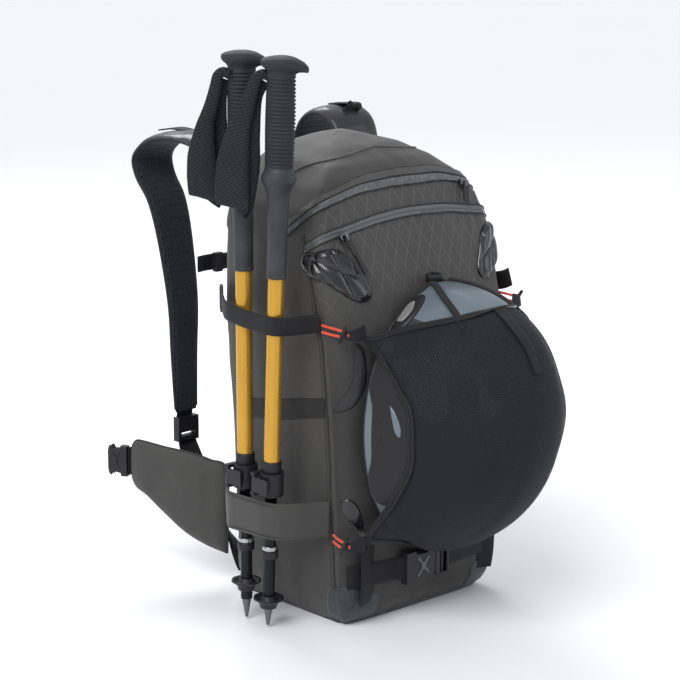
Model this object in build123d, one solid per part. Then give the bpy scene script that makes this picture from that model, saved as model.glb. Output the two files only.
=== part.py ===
from build123d import *
import math
import os

# Ski backpack, standing upright on its base: a zipped bag with a front pocket, a helmet carried
# under a net on the front, and two collapsed poles held on the wearer's left side.
# Millimetres, +Z up, origin at the centre of the resting face. The wearer's back is at +Y.

# ---- driving dimensions ----
WALL = 5.0                    # padded fabric wall of the bag
BASE_THICK = 4.0
STRAP_THICK = 1.6
BACK_Y = 106.0                # flat back face of the bag
CLEAR = 0.4                   # running gap between pieces that move on each other

# Half width of the bag against height, from the base to the middle of the dome.
SIDE_LINE = [(104, 4), (118, 28), (124, 140), (129, 240), (134, 336), (134, 400), (131, 436),
             (122, 460), (103, 484), (78, 504), (44, 520), (0, 528)]
# Front of the bag, at the side seam, as (y, z).
SEAM_LINE = [(-78, 4), (-82, 130), (-76, 330), (-60, 385), (-47, 431), (-40, 492)]
TOP_LINE = [(-22, 512), (40, 528), (80, 524), (98, 505), (BACK_Y, 470), (BACK_Y, 40), (92, 4)]
# Outer face of the front pocket, as (y, z).
POCKET_LINE = [(-82, 20), (-104, 38), (-104, 92), (-112, 150), (-110, 330), (-100, 370),
               (-52, 490)]
POCKET_INSET = 12.0

POLE_X = -170.0
POLE_BOTTOM = 3.0
# Tip y, lean in degrees and basket height of each pole.
POLES = {"rear": (12.0, 0.0, 38.0), "front": (-24.0, 2.6, 27.0)}
FACE_TURN = Rot(0, 0, -42.5)  # the grips' long heads and the wrist straps share this turn
WRIST_OUTLINES = {
    "rear": [(-17, 600), (-24, 606), (-29, 590), (-46, 562), (-56, 524), (-56, 496), (-48, 482),
             (-26, 470), (-18, 500)],
    "front": [(-19, 604), (-26, 604), (-56, 572), (-66, 545), (-66, 500), (-63, 478), (-38, 464),
              (-27, 485), (-24, 560)]}
WRIST_DEPTH = {"rear": (-14, -2), "front": (13, 25)}
TUBE_R = 9.0
TUBE_BORE = 8.0
LOWER_R = 6.5
LOCK_Z = (152.0, 178.0)
TUBE_TOP = 560.0

HELMET_CENTRE = (0.0, -100.5, 225.5)
HELMET_TILT = -25.8
NET_AXES = (115.8, 183.4, 146.6)
RIM_Y = -116.0
NET_FLOOR = 99.0
HOOK_X = 125.0
DIAL_Y = -108.0
DIAL_Z = 382.0
HOOK_Z = (105.0, 340.0)


# ---- helpers ----
def save(part, name):
    """Write one named piece as its own STEP file."""
    export_step(part, f"parts/{name}.step")


def prism(points, direction, depth):
    """Solid made by pushing a closed flat outline along a direction."""
    return extrude(make_face(Polyline(*points, close=True)), amount=depth, dir=direction)


def block(x, y, z):
    """Box between two values on each axis."""
    size = (x[1] - x[0], y[1] - y[0], z[1] - z[0])
    centre = (sum(x) / 2, sum(y) / 2, sum(z) / 2)
    return Pos(*centre) * Box(*size)


def mirrored(part):
    """The same piece on the other side of the pack."""
    return mirror(part, about=Plane.YZ)


def between(line, z):
    """First coordinate of a line of (value, z) points at one height."""
    for (value_a, z_a), (value_b, z_b) in zip(line, line[1:]):
        if z_a <= z <= z_b:
            return value_a + (value_b - value_a) * (z - z_a) / (z_b - z_a)
    raise ValueError(f"height {z} is outside the line")


def ribbon(route, thickness):
    """Outline of a strip of one thickness, whose middle line is the route."""
    near, far = [], []
    for index, (u, v) in enumerate(route):
        before = route[max(index - 1, 0)]
        after = route[min(index + 1, len(route) - 1)]
        run = math.hypot(after[0] - before[0], after[1] - before[1])
        across_u = -(after[1] - before[1]) / run * thickness / 2
        across_v = (after[0] - before[0]) / run * thickness / 2
        near.append((u + across_u, v + across_v))
        far.append((u - across_u, v - across_v))
    return near + far[::-1]


def strap_over_x(route, thickness, x):
    """Strip that bends in the YZ plane and is as wide as the span in x."""
    outline = [(x[0], y, z) for y, z in ribbon(route, thickness)]
    return prism(outline, (1, 0, 0), x[1] - x[0])


def strap_over_z(route, thickness, z):
    """Strip that bends in the XY plane and is as wide as the span in z."""
    outline = [(x, y, z[0]) for x, y in ribbon(route, thickness)]
    return prism(outline, (0, 0, 1), z[1] - z[0])


def side_patch(y, z, thickness, side):
    """Thin piece that lies on the sloping side wall."""
    low, high = between(SIDE_ON_WALL, z[0]), between(SIDE_ON_WALL, z[1])
    outline = [(side * low, y[0], z[0]), (side * high, y[0], z[1]),
               (side * (high + thickness), y[0], z[1]), (side * (low + thickness), y[0], z[0])]
    return prism(outline, (0, 1, 0), y[1] - y[0])


def ellipsoid(grow):
    """Solid egg shape of the loaded net, larger or smaller by one wall."""
    sizes = tuple(axis + grow for axis in NET_AXES)
    egg = scale(Sphere(1), by=sizes)
    return Pos(*HELMET_CENTRE) * Rot(HELMET_TILT, 0, 0) * egg


SIDE_ON_WALL = SIDE_LINE[:6]


# ---- the bag ----
def crossed(side, front_inset, side_inset):
    """Solid with the bag's front outline and one side outline, each shrunk by an inset."""
    front = [(x, 0, z) for x, z in SIDE_LINE] + [(-x, 0, z) for x, z in SIDE_LINE[-2::-1]]
    faces = []
    for outline, inset in ((front, front_inset), (side, side_inset)):
        face = make_face(Polyline(*outline, close=True))
        faces.append(offset(face, amount=-inset, kind=Kind.INTERSECTION) if inset else face)
    deep = extrude(faces[0], amount=200, dir=(0, 1, 0), both=True)
    return deep & extrude(faces[1], amount=200, dir=(1, 0, 0), both=True)


def bag_block(inset):
    """The bag without its pocket, smaller by an inset."""
    side = [(0, y, z) for y, z in SEAM_LINE + TOP_LINE]
    return crossed(side, inset, inset)


def base_panel():
    """Tough patch that the pack rests on."""
    outline = [(-104, -66, 0), (-92, -78, 0), (92, -78, 0), (104, -66, 0),
               (104, 80, 0), (92, 92, 0), (-92, 92, 0), (-104, 80, 0)]
    return prism(outline, (0, 0, 1), BASE_THICK)


def pocket_block(inset):
    """The pocket that bulges forward of the side seam, smaller by an inset."""
    inner_line = [point for point in SEAM_LINE if point[1] > 20]
    foot = (between(SEAM_LINE, 20), 20)
    side = [(0, y, z) for y, z in POCKET_LINE[1:] + inner_line[::-1] + [foot]]
    return crossed(side, POCKET_INSET + inset, inset)


def back_parts():
    """Padding on the wearer's side, and the sheet and two stays inside the bag."""
    pad = block((-92, 92), (BACK_Y, BACK_Y + 14), (152, 456))
    channel = block((-14, 14), (BACK_Y + 8, BACK_Y + 14), (152, 456))
    lumbar = block((-98, 98), (BACK_Y, BACK_Y + 17), (42, 146))
    inner = BACK_Y - WALL
    sheet = block((-88, 88), (inner - 1.5, inner), (50, 440))
    stay = block((42, 56), (inner - 4.5, inner - 1.5), (55, 435))
    return {"back_pad": fillet((pad - channel).edges().filter_by(Axis.Y), 3),
            "lumbar_pad": fillet(lumbar.edges().filter_by(Axis.Y), 12),
            "frame_sheet": sheet,
            "frame_stays": Compound(children=[stay, mirrored(stay)])}


# ---- zips on the sloping top of the front pocket ----
SLOPE_RUN = math.hypot(48, 120)
SLOPE_UP = Vector(0, 48 / SLOPE_RUN, 120 / SLOPE_RUN)
SLOPE_OUT = Vector(0, -120 / SLOPE_RUN, 48 / SLOPE_RUN)
SLOPE = Plane(origin=(0, -100, 370), x_dir=(1, 0, 0), z_dir=SLOPE_OUT)
ZIPS = {"front_zip": (330.0, -242.0, 114.0), "main_zip": (300.0, -179.0, 98.0)}
ZIP_WIDE = 12.0
ZIP_THICK = 1.6


def zip_band(name):
    """Circular zip tape on the slope."""
    radius, centre, reach = ZIPS[name]
    ring = Circle(radius + ZIP_WIDE / 2) - Circle(radius - ZIP_WIDE / 2)
    window = Pos(0, radius) * Rectangle(2 * reach, radius * 1.4)
    return SLOPE * extrude(Pos(0, centre) * (ring & window), amount=ZIP_THICK)


def zip_slider(name, side):
    """Slider and its short bridge, at one end of the tape."""
    radius, centre, reach = ZIPS[name]
    across = side * (reach - 9)
    along = math.sqrt(radius ** 2 - across ** 2)
    turn = -math.degrees(math.asin(across / radius))
    place = SLOPE * Pos(0, centre) * Pos(across, along, ZIP_THICK + CLEAR) * Rot(0, 0, turn)
    body = Pos(0, 0, 2) * Box(12, 9, 4)
    lug = Pos(0, -1, 5.5) * Box(3, 7, 3)
    hole = Pos(0, -2.5, 5.6) * Rot(0, 90, 0) * Cylinder(1.1, 8)
    slider = place * (body + lug - hole)
    pin = Pos(0, -2.5, 5.6) * Rot(0, 90, 0) * Cylinder(1.0, 7)
    tab = Pos(0, -13.6, 5.6) * Box(7, 16, 1.8)
    arms = [Pos(x, -4.2, 5.6) * Box(1.4, 6, 1.8) for x in (-2.8, 2.8)]
    pull = pin + arms[0] + arms[1] + tab
    if name == "front_zip":
        pull += Pos(0, -33.6, 5.6) * Box(5, 24, 3.4)
    return slider, place * pull


# ---- straps ----
def side_straps():
    """Compression straps: the left one goes round the poles, the right one lies flat."""
    z = (339, 361)
    left_route = [(-135.2, 92), (-150, 72), (-178, 34), (-181.2, 10), (-181.2, -38),
                  (-177, -52), (-152, -63), (-136.2, -72)]
    left = strap_over_z(left_route, STRAP_THICK, z)
    right = side_patch((-72, 92), z, STRAP_THICK, 1)
    keeper = side_patch((-64, -42), (336, 364), 4.4, 1) - side_patch((-72, 92), z, STRAP_THICK, 1)
    return left, right + keeper


def ski_loops():
    """Wide fabric loops low on the sides; the left one holds the pole shafts."""
    left_route = [(-125, 96), (-140, 78), (-180, 34), (-183.5, 12), (-183.5, -34),
                  (-178, -48), (-150, -67), (-127, -78)]
    left = strap_over_z(left_route, 2.2, (103, 148))
    right = side_patch((-74, 92), (103, 139), 2.2, 1)
    return left, right


def elastic_loop(side, z, inner_y):
    """Elastic cord loop from the side seam to a net hook."""
    x = side * (HOOK_X + 2)
    path = FilletPolyline((x, inner_y, z - 3.2), (x, -111, z - 3.2), (x, -111, z + 3.2),
                          (x, inner_y, z + 3.2), radius=2.8)
    ring = Plane(origin=path @ 0, z_dir=path % 0) * Circle(1.5)
    return sweep(ring, path=path)


def front_strap():
    """Webbing low on the front, with its two upright anchors."""
    face = POCKET_LINE[1][0]
    left = block((-104, -46), (face - STRAP_THICK, face), (46, 76))
    right = block((4, 104), (face - STRAP_THICK, face), (46, 76))
    anchor = block((-100, -80), (face - 2 * STRAP_THICK, face - STRAP_THICK), (40, 90))
    return Compound(children=[left, right, anchor, mirrored(anchor)])


def buckle(length, wide, thick, prong_count=2):
    """Side-release buckle along +X, its mouth at x 0: socket on -X, plug on +X."""
    gap = thick * 0.42
    outer = Pos(-length / 2, 0, 0) * Box(length, wide, thick)
    mouth = Pos(-length * 0.36, 0, 0) * Box(length * 0.72, wide - 7, gap)
    windows = [Pos(-length * 0.42, side * wide / 2, 0) * Box(length * 0.3, 9, gap)
               for side in (-1, 1)]
    bar_slot = Pos(-length * 0.86, 0, 0) * Box(length * 0.12, wide - 8, thick + 1)
    socket = outer - mouth - windows[0] - windows[1] - bar_slot
    head = Pos(CLEAR + length * 0.26, 0, 0) * Box(length * 0.52, wide, thick)
    slots = [Pos(CLEAR + length * at, 0, 0) * Box(length * 0.1, wide - 8, thick + 1)
             for at in (0.2, 0.38)]
    reach = length * 0.62
    offsets = [(-1 + 2 * k / (prong_count - 1)) * (wide / 2 - 7.5) for k in range(prong_count)]
    prongs = [Pos(CLEAR - reach / 2 + 0.5, at, 0) * Box(reach + 1, 4.5, gap - 2 * CLEAR)
              for at in offsets]
    plug = head - slots[0] - slots[1]
    for prong in prongs:
        plug += prong
    return socket, plug


# ---- harness ----
LEFT_ROUTE = [(114, 464), (119, 486), (140, 503), (185, 515), (238, 508), (272, 486), (268, 462),
              (246, 436), (234, 400), (222, 347), (217, 306), (219, 260), (218, 200), (216, 180)]
RIGHT_ROUTE = [(114.5, 464), (119.5, 500), (134, 529), (160, 537), (190, 522), (210, 486),
               (219, 436), (222, 380), (219, 306), (219, 260), (218, 200), (216, 180)]
STRAP_X = (56.0, 122.0)


def shoulder_straps():
    """Two padded straps, each with a ladder-lock adjuster at its lower end."""
    left = strap_over_x(LEFT_ROUTE, 11, (-STRAP_X[1], -STRAP_X[0]))
    right = strap_over_x(RIGHT_ROUTE, 11, STRAP_X)
    lock = block((74, 104), (211, 221), (150, 179)) - block((78, 100), (210, 222), (156, 161))
    return left, right, Compound(children=[lock, mirrored(lock)])


def lower_webbing():
    """Webbing from the bottom corners of the back up to the adjusters."""
    route = [(107, 20), (128, 42), (166, 84), (200, 122), (214, 148.5)]
    web = strap_over_x(route, STRAP_THICK, (76.5, 101.5))
    return Compound(children=[web, mirrored(web)])


def sternum_parts():
    """Chest strap with a small side-release buckle between the shoulder straps."""
    y, z = 228.0, 356.0
    web_left = block((-56, -38), (y - 1, y + 1), (z - 10, z + 10))
    web_right = block((4, 56), (y - 1, y + 1), (z - 10, z + 10))
    socket, plug = buckle(32, 24, 8)
    place = Pos(-6, y - 5.6, z) * Rot(90, 0, 0)
    return Compound(children=[web_left, web_right]), place * socket, place * plug


WING_ROOT = (-110.0, 117.0)
WING_ANGLE = 113.0
WING_REACH = 124.0


def hip_parts():
    """Hip-belt wings with webbing and a side-release buckle that hangs open."""
    place = Pos(*WING_ROOT, 0) * Rot(0, 0, WING_ANGLE)
    reach = WING_REACH
    outline = [(0, -8, 34), (0, -8, 144), (44, -8, 154), (reach - 8, -8, 160),
               (reach, -8, 150), (reach, -8, 112), (reach - 14, -8, 98), (52, -8, 56)]
    wing = prism(outline, (0, 1, 0), 16)
    web = block((reach, reach + 5), (-1, 1), (116, 150))
    socket, plug = buckle(26, 38, 9, 3)
    socket = Pos(reach + 31, 0, 133) * Rot(90, 0, 0) * socket
    plug = Pos(reach + 5 + 26 * 0.52 + CLEAR, 0, 133) * Rot(90, 0, 0) * Rot(0, 0, 180) * plug
    return {"hip_wing_left": place * wing, "hip_wing_right": mirrored(place * wing),
            "hip_buckle_socket": Compound(children=[place * socket, place * web]),
            "hip_buckle_plug": Compound(children=[mirrored(place * plug), mirrored(place * web)])}


def grab_handle():
    """Webbing handle at the top of the back, folded down behind the bag."""
    route = [(109.5, 478), (116, 470), (128, 462), (139, 454.6)]
    legs = [strap_over_x(route, 2.4, (side * 30 - 10, side * 30 + 10)) for side in (-1, 1)]
    bridge = strap_over_x([(137.3, 455.8), (152, 446)], 5, (-40, 40))
    return legs[0] + legs[1] + bridge


# ---- helmet and net ----
def keep_front(part):
    """Part of a shape that lies forward of the rim plane and above the lower hem."""
    return part & block((-200, 200), (-400, RIM_Y), (NET_FLOOR, 420))


def helmet_parts():
    """Net, hooks, outer shell, foam liner and the fit dial."""
    net = keep_front(ellipsoid(0) - ellipsoid(-1.2))
    for side in (-1, 1):
        net -= Pos(side * 196, -200, 232) * Rot(90, 0, 0) * Cylinder(102, 400)
    shell = keep_front(ellipsoid(-2.0) - ellipsoid(-5.0))
    liner = keep_front(ellipsoid(-5.4) - ellipsoid(-27))
    bracket = block((-9, 9), (RIM_Y, RIM_Y + 4), (346, DIAL_Z - 0.6))
    shelf = block((-7, 7), (RIM_Y, DIAL_Y + 6), (DIAL_Z - 3.6, DIAL_Z - 0.6))
    pin = Pos(0, DIAL_Y, DIAL_Z + 3.5) * Cylinder(3, 8.2)
    cradle = bracket + shelf + pin
    dial = Pos(0, DIAL_Y, DIAL_Z + 3.5) * (Cylinder(9.5, 7) - Cylinder(3.08, 9))
    hooks = []
    for side in (-1, 1):
        for z in HOOK_Z:
            toggle = block((HOOK_X - 11, HOOK_X + 9), (-119.5, -115.9), (z - 4, z + 4))
            tab = block((50, HOOK_X - 11), (-119.5, -117.2), (max(z - 8, NET_FLOOR), z + 8))
            hook = (toggle + tab) - ellipsoid(0.3)
            hooks.append(hook if side > 0 else mirrored(hook))
    return {"helmet_net": net, "helmet_shell": shell, "helmet_liner": liner,
            "helmet_cradle": cradle, "helmet_dial": dial,
            "net_hooks": Compound(children=hooks)}


# ---- poles ----
def pole_parts(which):
    """One collapsed pole, standing on its tip, as named pieces."""
    y, lean, basket_z = POLES[which]
    place = Pos(POLE_X, y, POLE_BOTTOM) * Rot(lean, 0, 0)

    def rod(radius, z, bore=0):
        solid = Pos(0, 0, sum(z) / 2) * Cylinder(radius, z[1] - z[0])
        return solid - Pos(0, 0, sum(z) / 2) * Cylinder(bore, z[1] - z[0] + 2) if bore else solid

    tip = Pos(0, 0, 11) * Cone(1.6, 5.4, 22)
    lower = rod(LOWER_R, (22, 480))
    dish = Pos(0, 0, basket_z) * Cone(12, 17.5, 8) - rod(LOWER_R + CLEAR, (20, 50))
    tube = rod(TUBE_R, (LOCK_Z[0] + 6, TUBE_TOP), TUBE_BORE)
    collar = rod(13.5, LOCK_Z, TUBE_R) + rod(13.5, (LOCK_Z[0], LOCK_Z[0] + 6), LOWER_R + CLEAR)
    pivot = (-15.5, 10.5)
    ears = [block((pivot[0] - 3, -6), (pivot[1] - 3, pivot[1] + 3), z)
            for z in ((LOCK_Z[0], LOCK_Z[0] + 4), (LOCK_Z[1] - 4, LOCK_Z[1]))]
    pin = Pos(*pivot, sum(LOCK_Z) / 2) * Cylinder(1.6, LOCK_Z[1] - LOCK_Z[0])
    lock = collar + (ears[0] + ears[1] - rod(12, LOCK_Z)) + pin
    span = (LOCK_Z[0] + 4 + CLEAR, LOCK_Z[1] - 4 - CLEAR)
    barrel = Pos(*pivot, sum(span) / 2) * (Cylinder(2.9, span[1] - span[0]))
    arm = block((pivot[0] - 2.9, pivot[0] - 0.2), (-13, pivot[1]), span)
    lever = (arm + barrel) - rod(13.5 + CLEAR, LOCK_Z)
    lever -= Pos(*pivot, sum(span) / 2) * Cylinder(1.68, 40)
    profile = [(TUBE_R, 396), (12.4, 400), (12.2, 492), (17.6, 499), (17.8, 505), (14.6, 514),
               (14.4, 606), (16, 612), (15, 626), (0, 629), (0, TUBE_TOP), (TUBE_R, TUBE_TOP)]
    grip = revolve(make_face(Polyline(*[(r, 0, z) for r, z in profile], close=True)), Axis.Z)
    grown = revolve(make_face(Polyline(*[(r + CLEAR if r else 0, 0, z) for r, z in profile],
                                       close=True)), Axis.Z)
    head = FACE_TURN * Pos(4, 0, 620) * extrude(Ellipse(24, 19), amount=10)
    grip += head
    outline = [(x, WRIST_DEPTH[which][0], z) for x, z in WRIST_OUTLINES[which]]
    wrist = FACE_TURN * prism(outline, (0, 1, 0), WRIST_DEPTH[which][1] - WRIST_DEPTH[which][0])
    wrist -= grown
    pieces = {"tip": tip, "lower_shaft": lower, "basket": dish, "upper_shaft": tube,
              "lock_body": lock, "lock_lever": lever, "grip": grip, "wrist_strap": wrist}
    return {name: place * piece for name, piece in pieces.items()}


def quilted_panels():
    """Padded quilted panels at the upper corners of the front pocket."""
    outline = [(80, 6), (92, 3), (106, 8), (113, 20), (113, 46), (105, 49), (96, 40), (88, 26)]
    panel = SLOPE * extrude(make_face(Polyline(*outline, close=True)), amount=3)
    return Compound(children=[panel, mirrored(panel)])


def build():
    """Make every piece and write it."""
    os.makedirs("parts", exist_ok=True)
    pieces = {"base_panel": base_panel(), "main_bag": bag_block(0) - bag_block(WALL),
              "front_pocket": pocket_block(0) - pocket_block(WALL), "quilted_panels": quilted_panels()}
    pieces.update(back_parts())
    for name, side in (("front_zip", -1), ("main_zip", 1)):
        pieces[name] = zip_band(name)
        pieces[f"{name}_slider"], pieces[f"{name}_pull"] = zip_slider(name, side)
    pieces["side_strap_left"], pieces["side_strap_right"] = side_straps()
    pieces["ski_loop_left"], pieces["ski_loop_right"] = ski_loops()
    for level, z in zip(("lower", "upper"), HOOK_Z):
        start = between(SEAM_LINE, z) + 1.0
        for side_name, side in (("left", -1), ("right", 1)):
            pieces[f"cord_{level}_{side_name}"] = elastic_loop(side, z, start)
    pieces["front_strap"] = front_strap()
    socket, plug = buckle(44, 38, 11)
    face = POCKET_LINE[1][0] - STRAP_THICK
    seat = Pos(-2, face - CLEAR - 5.5, 61) * Rot(90, 0, 0)
    pieces["front_buckle_socket"] = Pos(0, CLEAR, 0) * seat * socket
    pieces["front_buckle_plug"] = seat * plug
    left, right, locks = shoulder_straps()
    pieces.update({"shoulder_strap_left": left, "shoulder_strap_right": right,
                   "strap_adjusters": locks, "lower_webbing": lower_webbing()})
    names = ("sternum_strap", "sternum_socket", "sternum_plug")
    pieces.update(dict(zip(names, sternum_parts())))
    pieces["grab_handle"] = grab_handle()
    pieces.update(hip_parts())
    pieces.update(helmet_parts())
    for which in POLES:
        for name, piece in pole_parts(which).items():
            pieces[f"{which}_pole_{name}"] = piece
    for name, piece in pieces.items():
        save(piece, name)
    print(len(pieces), "pieces")


if __name__ == "__main__":
    build()
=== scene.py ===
import bmesh
import bpy
import math
import numpy as np
from mathutils import Vector, Matrix, noise
from mathutils.bvhtree import BVHTree


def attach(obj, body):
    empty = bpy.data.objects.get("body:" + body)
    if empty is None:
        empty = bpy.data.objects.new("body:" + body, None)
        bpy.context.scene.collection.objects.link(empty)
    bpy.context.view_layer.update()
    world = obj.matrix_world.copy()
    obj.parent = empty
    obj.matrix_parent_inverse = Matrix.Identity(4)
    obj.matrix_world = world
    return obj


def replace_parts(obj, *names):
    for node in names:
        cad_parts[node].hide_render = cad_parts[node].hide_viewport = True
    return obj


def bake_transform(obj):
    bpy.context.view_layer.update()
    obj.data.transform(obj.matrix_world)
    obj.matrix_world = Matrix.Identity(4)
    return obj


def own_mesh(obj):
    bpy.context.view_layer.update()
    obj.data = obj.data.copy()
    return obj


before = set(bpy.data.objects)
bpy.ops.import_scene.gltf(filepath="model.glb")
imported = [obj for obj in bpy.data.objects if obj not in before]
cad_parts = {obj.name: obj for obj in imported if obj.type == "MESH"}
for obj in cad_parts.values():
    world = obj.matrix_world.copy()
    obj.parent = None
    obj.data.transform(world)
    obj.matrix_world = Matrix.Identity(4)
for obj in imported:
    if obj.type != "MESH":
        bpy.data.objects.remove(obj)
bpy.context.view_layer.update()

# A ski backpack standing on a pale floor. Metres, +Z up, wearer's back at +Y, helmet net at -Y.
SIDES = ((-1, "left"), (1, "right"))
UP, ACROSS = (0, 0, 1), (1, 0, 0)


# ---------------------------------------------------------------- materials
class Shader:
    """A principled material with short calls for its node graph."""

    def __init__(self, name, color, rough, metal=0.0, **sockets):
        self.material = bpy.data.materials.new(name)
        self.material.use_nodes = True
        self.tree = self.material.node_tree
        self.main = self.tree.nodes["Principled BSDF"]
        self.main.inputs["Base Color"].default_value = (*color, 1)
        self.main.inputs["Roughness"].default_value = rough
        self.main.inputs["Metallic"].default_value = metal
        for socket, value in sockets.items():
            self.main.inputs[socket.replace("_", " ")].default_value = value
        self.normal = None

    def node(self, kind, values=None, **settings):
        made = self.tree.nodes.new(kind)
        for key, value in settings.items():
            setattr(made, key, value)
        for key, value in (values or {}).items():
            self.feed(made.inputs[key], value)
        return made

    def feed(self, socket, value):
        if isinstance(value, bpy.types.NodeSocket):
            self.tree.links.new(value, socket)
        else:
            socket.default_value = value

    def place(self, source="Object", scale=(1, 1, 1), turn=(0, 0, 0)):
        coords = self.node("ShaderNodeTexCoord").outputs[source]
        values = {"Vector": coords, "Scale": scale, "Rotation": turn}
        return self.node("ShaderNodeMapping", values).outputs["Vector"]

    def bands(self, vector, period, axis="X", warp=0.0):
        values = {"Vector": vector, "Scale": math.pi / 10 / period, "Distortion": warp}
        return self.node("ShaderNodeTexWave", values, bands_direction=axis).outputs["Fac"]

    def clouds(self, size, detail=3.0, vector=None):
        values = {"Vector": vector or self.place(), "Scale": 1 / size, "Detail": detail,
                  "Roughness": 0.55}
        return self.node("ShaderNodeTexNoise", values).outputs["Fac"]

    def math(self, operation, a, b=0.0):
        made = self.node("ShaderNodeMath", operation=operation)
        self.feed(made.inputs[0], a)
        self.feed(made.inputs[1], b)
        return made.outputs[0]

    def span(self, value, low, high, out_low=0.0, out_high=1.0):
        values = {"Value": value, "From Min": low, "From Max": high,
                  "To Min": out_low, "To Max": out_high}
        return self.node("ShaderNodeMapRange", values).outputs["Result"]

    def tint(self, factor, dark, light):
        made = self.node("ShaderNodeMix", data_type="RGBA")
        self.feed(made.inputs["Factor"], factor)
        self.feed(made.inputs[6], (*dark, 1) if isinstance(dark, tuple) else dark)
        self.feed(made.inputs[7], (*light, 1) if isinstance(light, tuple) else light)
        return made.outputs[2]

    def color(self, value):
        self.feed(self.main.inputs["Base Color"], value)

    def rough(self, value):
        self.feed(self.main.inputs["Roughness"], value)

    def bump(self, height, depth, strength=1.0):
        values = {"Height": height, "Distance": depth, "Strength": strength}
        if self.normal:
            values["Normal"] = self.normal
        self.normal = self.node("ShaderNodeBump", values).outputs["Normal"]
        self.feed(self.main.inputs["Normal"], self.normal)


def shade(color, factor):
    return tuple(channel * factor for channel in color)


RIB_PITCH, CROSS_PITCH, DIAMOND_PITCH = 0.0011, 0.0009, 0.0150
DIAMOND_LEAN = math.radians(27)


def nylon(name, color, diamonds=False, rough=0.62):
    """Woven pack cloth: fine ribs, cloudy wear, and raised diamond threads where asked.

    With diamonds, the cloth also carries painted shade: it is darker below the height of the net's
    top."""
    s = Shader(name, color, rough, Sheen_Weight=0.12, Sheen_Roughness=0.5)
    s.main.inputs["Specular IOR Level"].default_value = 0.35
    place = s.place()
    upright = s.bands(place, RIB_PITCH, "X", 0.4)
    level = s.bands(place, CROSS_PITCH, "Z", 0.4)
    deep = s.bands(place, RIB_PITCH, "Y", 0.4)
    weave = s.math("MULTIPLY", s.math("MAXIMUM", upright, deep), level)
    worn = s.clouds(0.05, 5)
    fine = s.clouds(0.004, 2)
    base = s.tint(s.span(worn, 0.3, 0.7), shade(color, 0.86), shade(color, 1.12))
    base = s.tint(s.span(weave, 0.1, 0.9, 0.0, 0.35), base, shade(color, 0.6))
    s.bump(weave, 0.00025, 0.5)
    s.bump(fine, 0.0003, 0.35)
    if diamonds:
        height = s.node("ShaderNodeSeparateXYZ", {"Vector": place}).outputs["Z"]
        one_way, other_way = (
            s.math("GREATER_THAN", s.bands(s.place(turn=(0, lean, 0)), DIAMOND_PITCH), 0.984)
            for lean in (DIAMOND_LEAN, -DIAMOND_LEAN))
        lines = s.math("MAXIMUM", one_way, other_way)
        lines = s.math("MULTIPLY", lines, s.span(height, 0.34, 0.39))
        base = s.tint(s.math("MULTIPLY", lines, 0.35), base, shade(color, 2.4))
        # Painted shade: the front is darkened below the net's top, where it faces away from the key
        # light.
        base = s.tint(s.span(height, 0.26, 0.38, 0.15, 1.0), shade(color, 0.40), base)
        s.bump(lines, 0.0004, 0.6)
    s.color(base)
    s.rough(s.span(worn, 0.2, 0.8, rough - 0.07, rough + 0.1))
    return s.material


def coated(name, color, rough):
    """Glossy coated fabric with a fine grain, and folds whose colour holds painted light on their
    crests and painted shade in their hollows.
    """
    s = Shader(name, color, rough, Coat_Weight=0.4, Coat_Roughness=0.15)
    grain = s.clouds(0.0025, 3)
    folds = s.clouds(0.02, 4)
    s.bump(grain, 0.0002, 0.35)
    s.bump(folds, 0.0015, 0.35)
    # Painted light and shade: the colour follows the fold relief, lighter on the crests and darker in
    # the hollows.
    s.color(s.tint(folds, shade(color, 0.7), shade(color, 1.6)))
    s.rough(s.span(folds, 0.3, 0.7, rough * 0.8, rough * 1.5))
    return s.material


def webbing(name, color, pitch=0.0012, slant=0.0, rough=0.6):
    """Flat woven strap; u runs across and v along the strap, both in metres."""
    s = Shader(name, color, rough, Sheen_Weight=0.05, Specular_IOR_Level=0.22)
    place = s.place("UV", turn=(0, 0, slant))
    across = s.bands(place, pitch, "Y", 0.3)
    along = s.bands(place, pitch * 1.6, "X", 0.3)
    weave = s.math("MULTIPLY", across, s.span(along, 0, 1, 0.55, 1))
    worn = s.clouds(0.03, 4)
    base = s.tint(s.span(weave, 0, 1), shade(color, 0.45), shade(color, 1.7))
    s.color(s.tint(s.span(worn, 0.3, 0.7, 0, 0.4), base, shade(color, 0.8)))
    s.bump(weave, 0.0004, 0.8)
    s.rough(s.span(worn, 0.2, 0.8, rough - 0.08, rough + 0.12))
    return s.material


MESH_CELL = 0.0042


def air_mesh(name, color):
    """Knitted spacer mesh: rows of small oval dimples."""
    s = Shader(name, color, 0.75, Sheen_Weight=0.08, Specular_IOR_Level=0.2)
    cells = s.node("ShaderNodeTexVoronoi", {"Vector": s.place(scale=(1, 1, 0.62)),
                                            "Scale": 1 / MESH_CELL, "Randomness": 0.12})
    hole = s.span(cells.outputs["Distance"], 0.12, 0.5)
    worn = s.clouds(0.06, 3)
    base = s.tint(hole, shade(color, 0.32), shade(color, 1.5))
    s.color(s.tint(s.span(worn, 0.3, 0.7, 0, 0.3), base, color))
    s.bump(hole, 0.0011, 0.9)
    return s.material


def open_net(name, color):
    """Stretch net: a fine knit that lets a little of what it covers through."""
    s = Shader(name, color, 0.7, Sheen_Weight=0.04, Specular_IOR_Level=0.2)
    place = s.place("UV")
    rows = s.bands(place, 0.0026, "Y", 0.25)
    posts = s.bands(place, 0.0022, "X", 0.25)
    thread = s.math("MAXIMUM", rows, posts)
    s.color(s.tint(thread, shade(color, 0.5), shade(color, 1.6)))
    s.bump(thread, 0.0005, 0.8)
    s.feed(s.main.inputs["Alpha"], s.math("GREATER_THAN", thread, 0.30))
    return s.material


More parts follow.
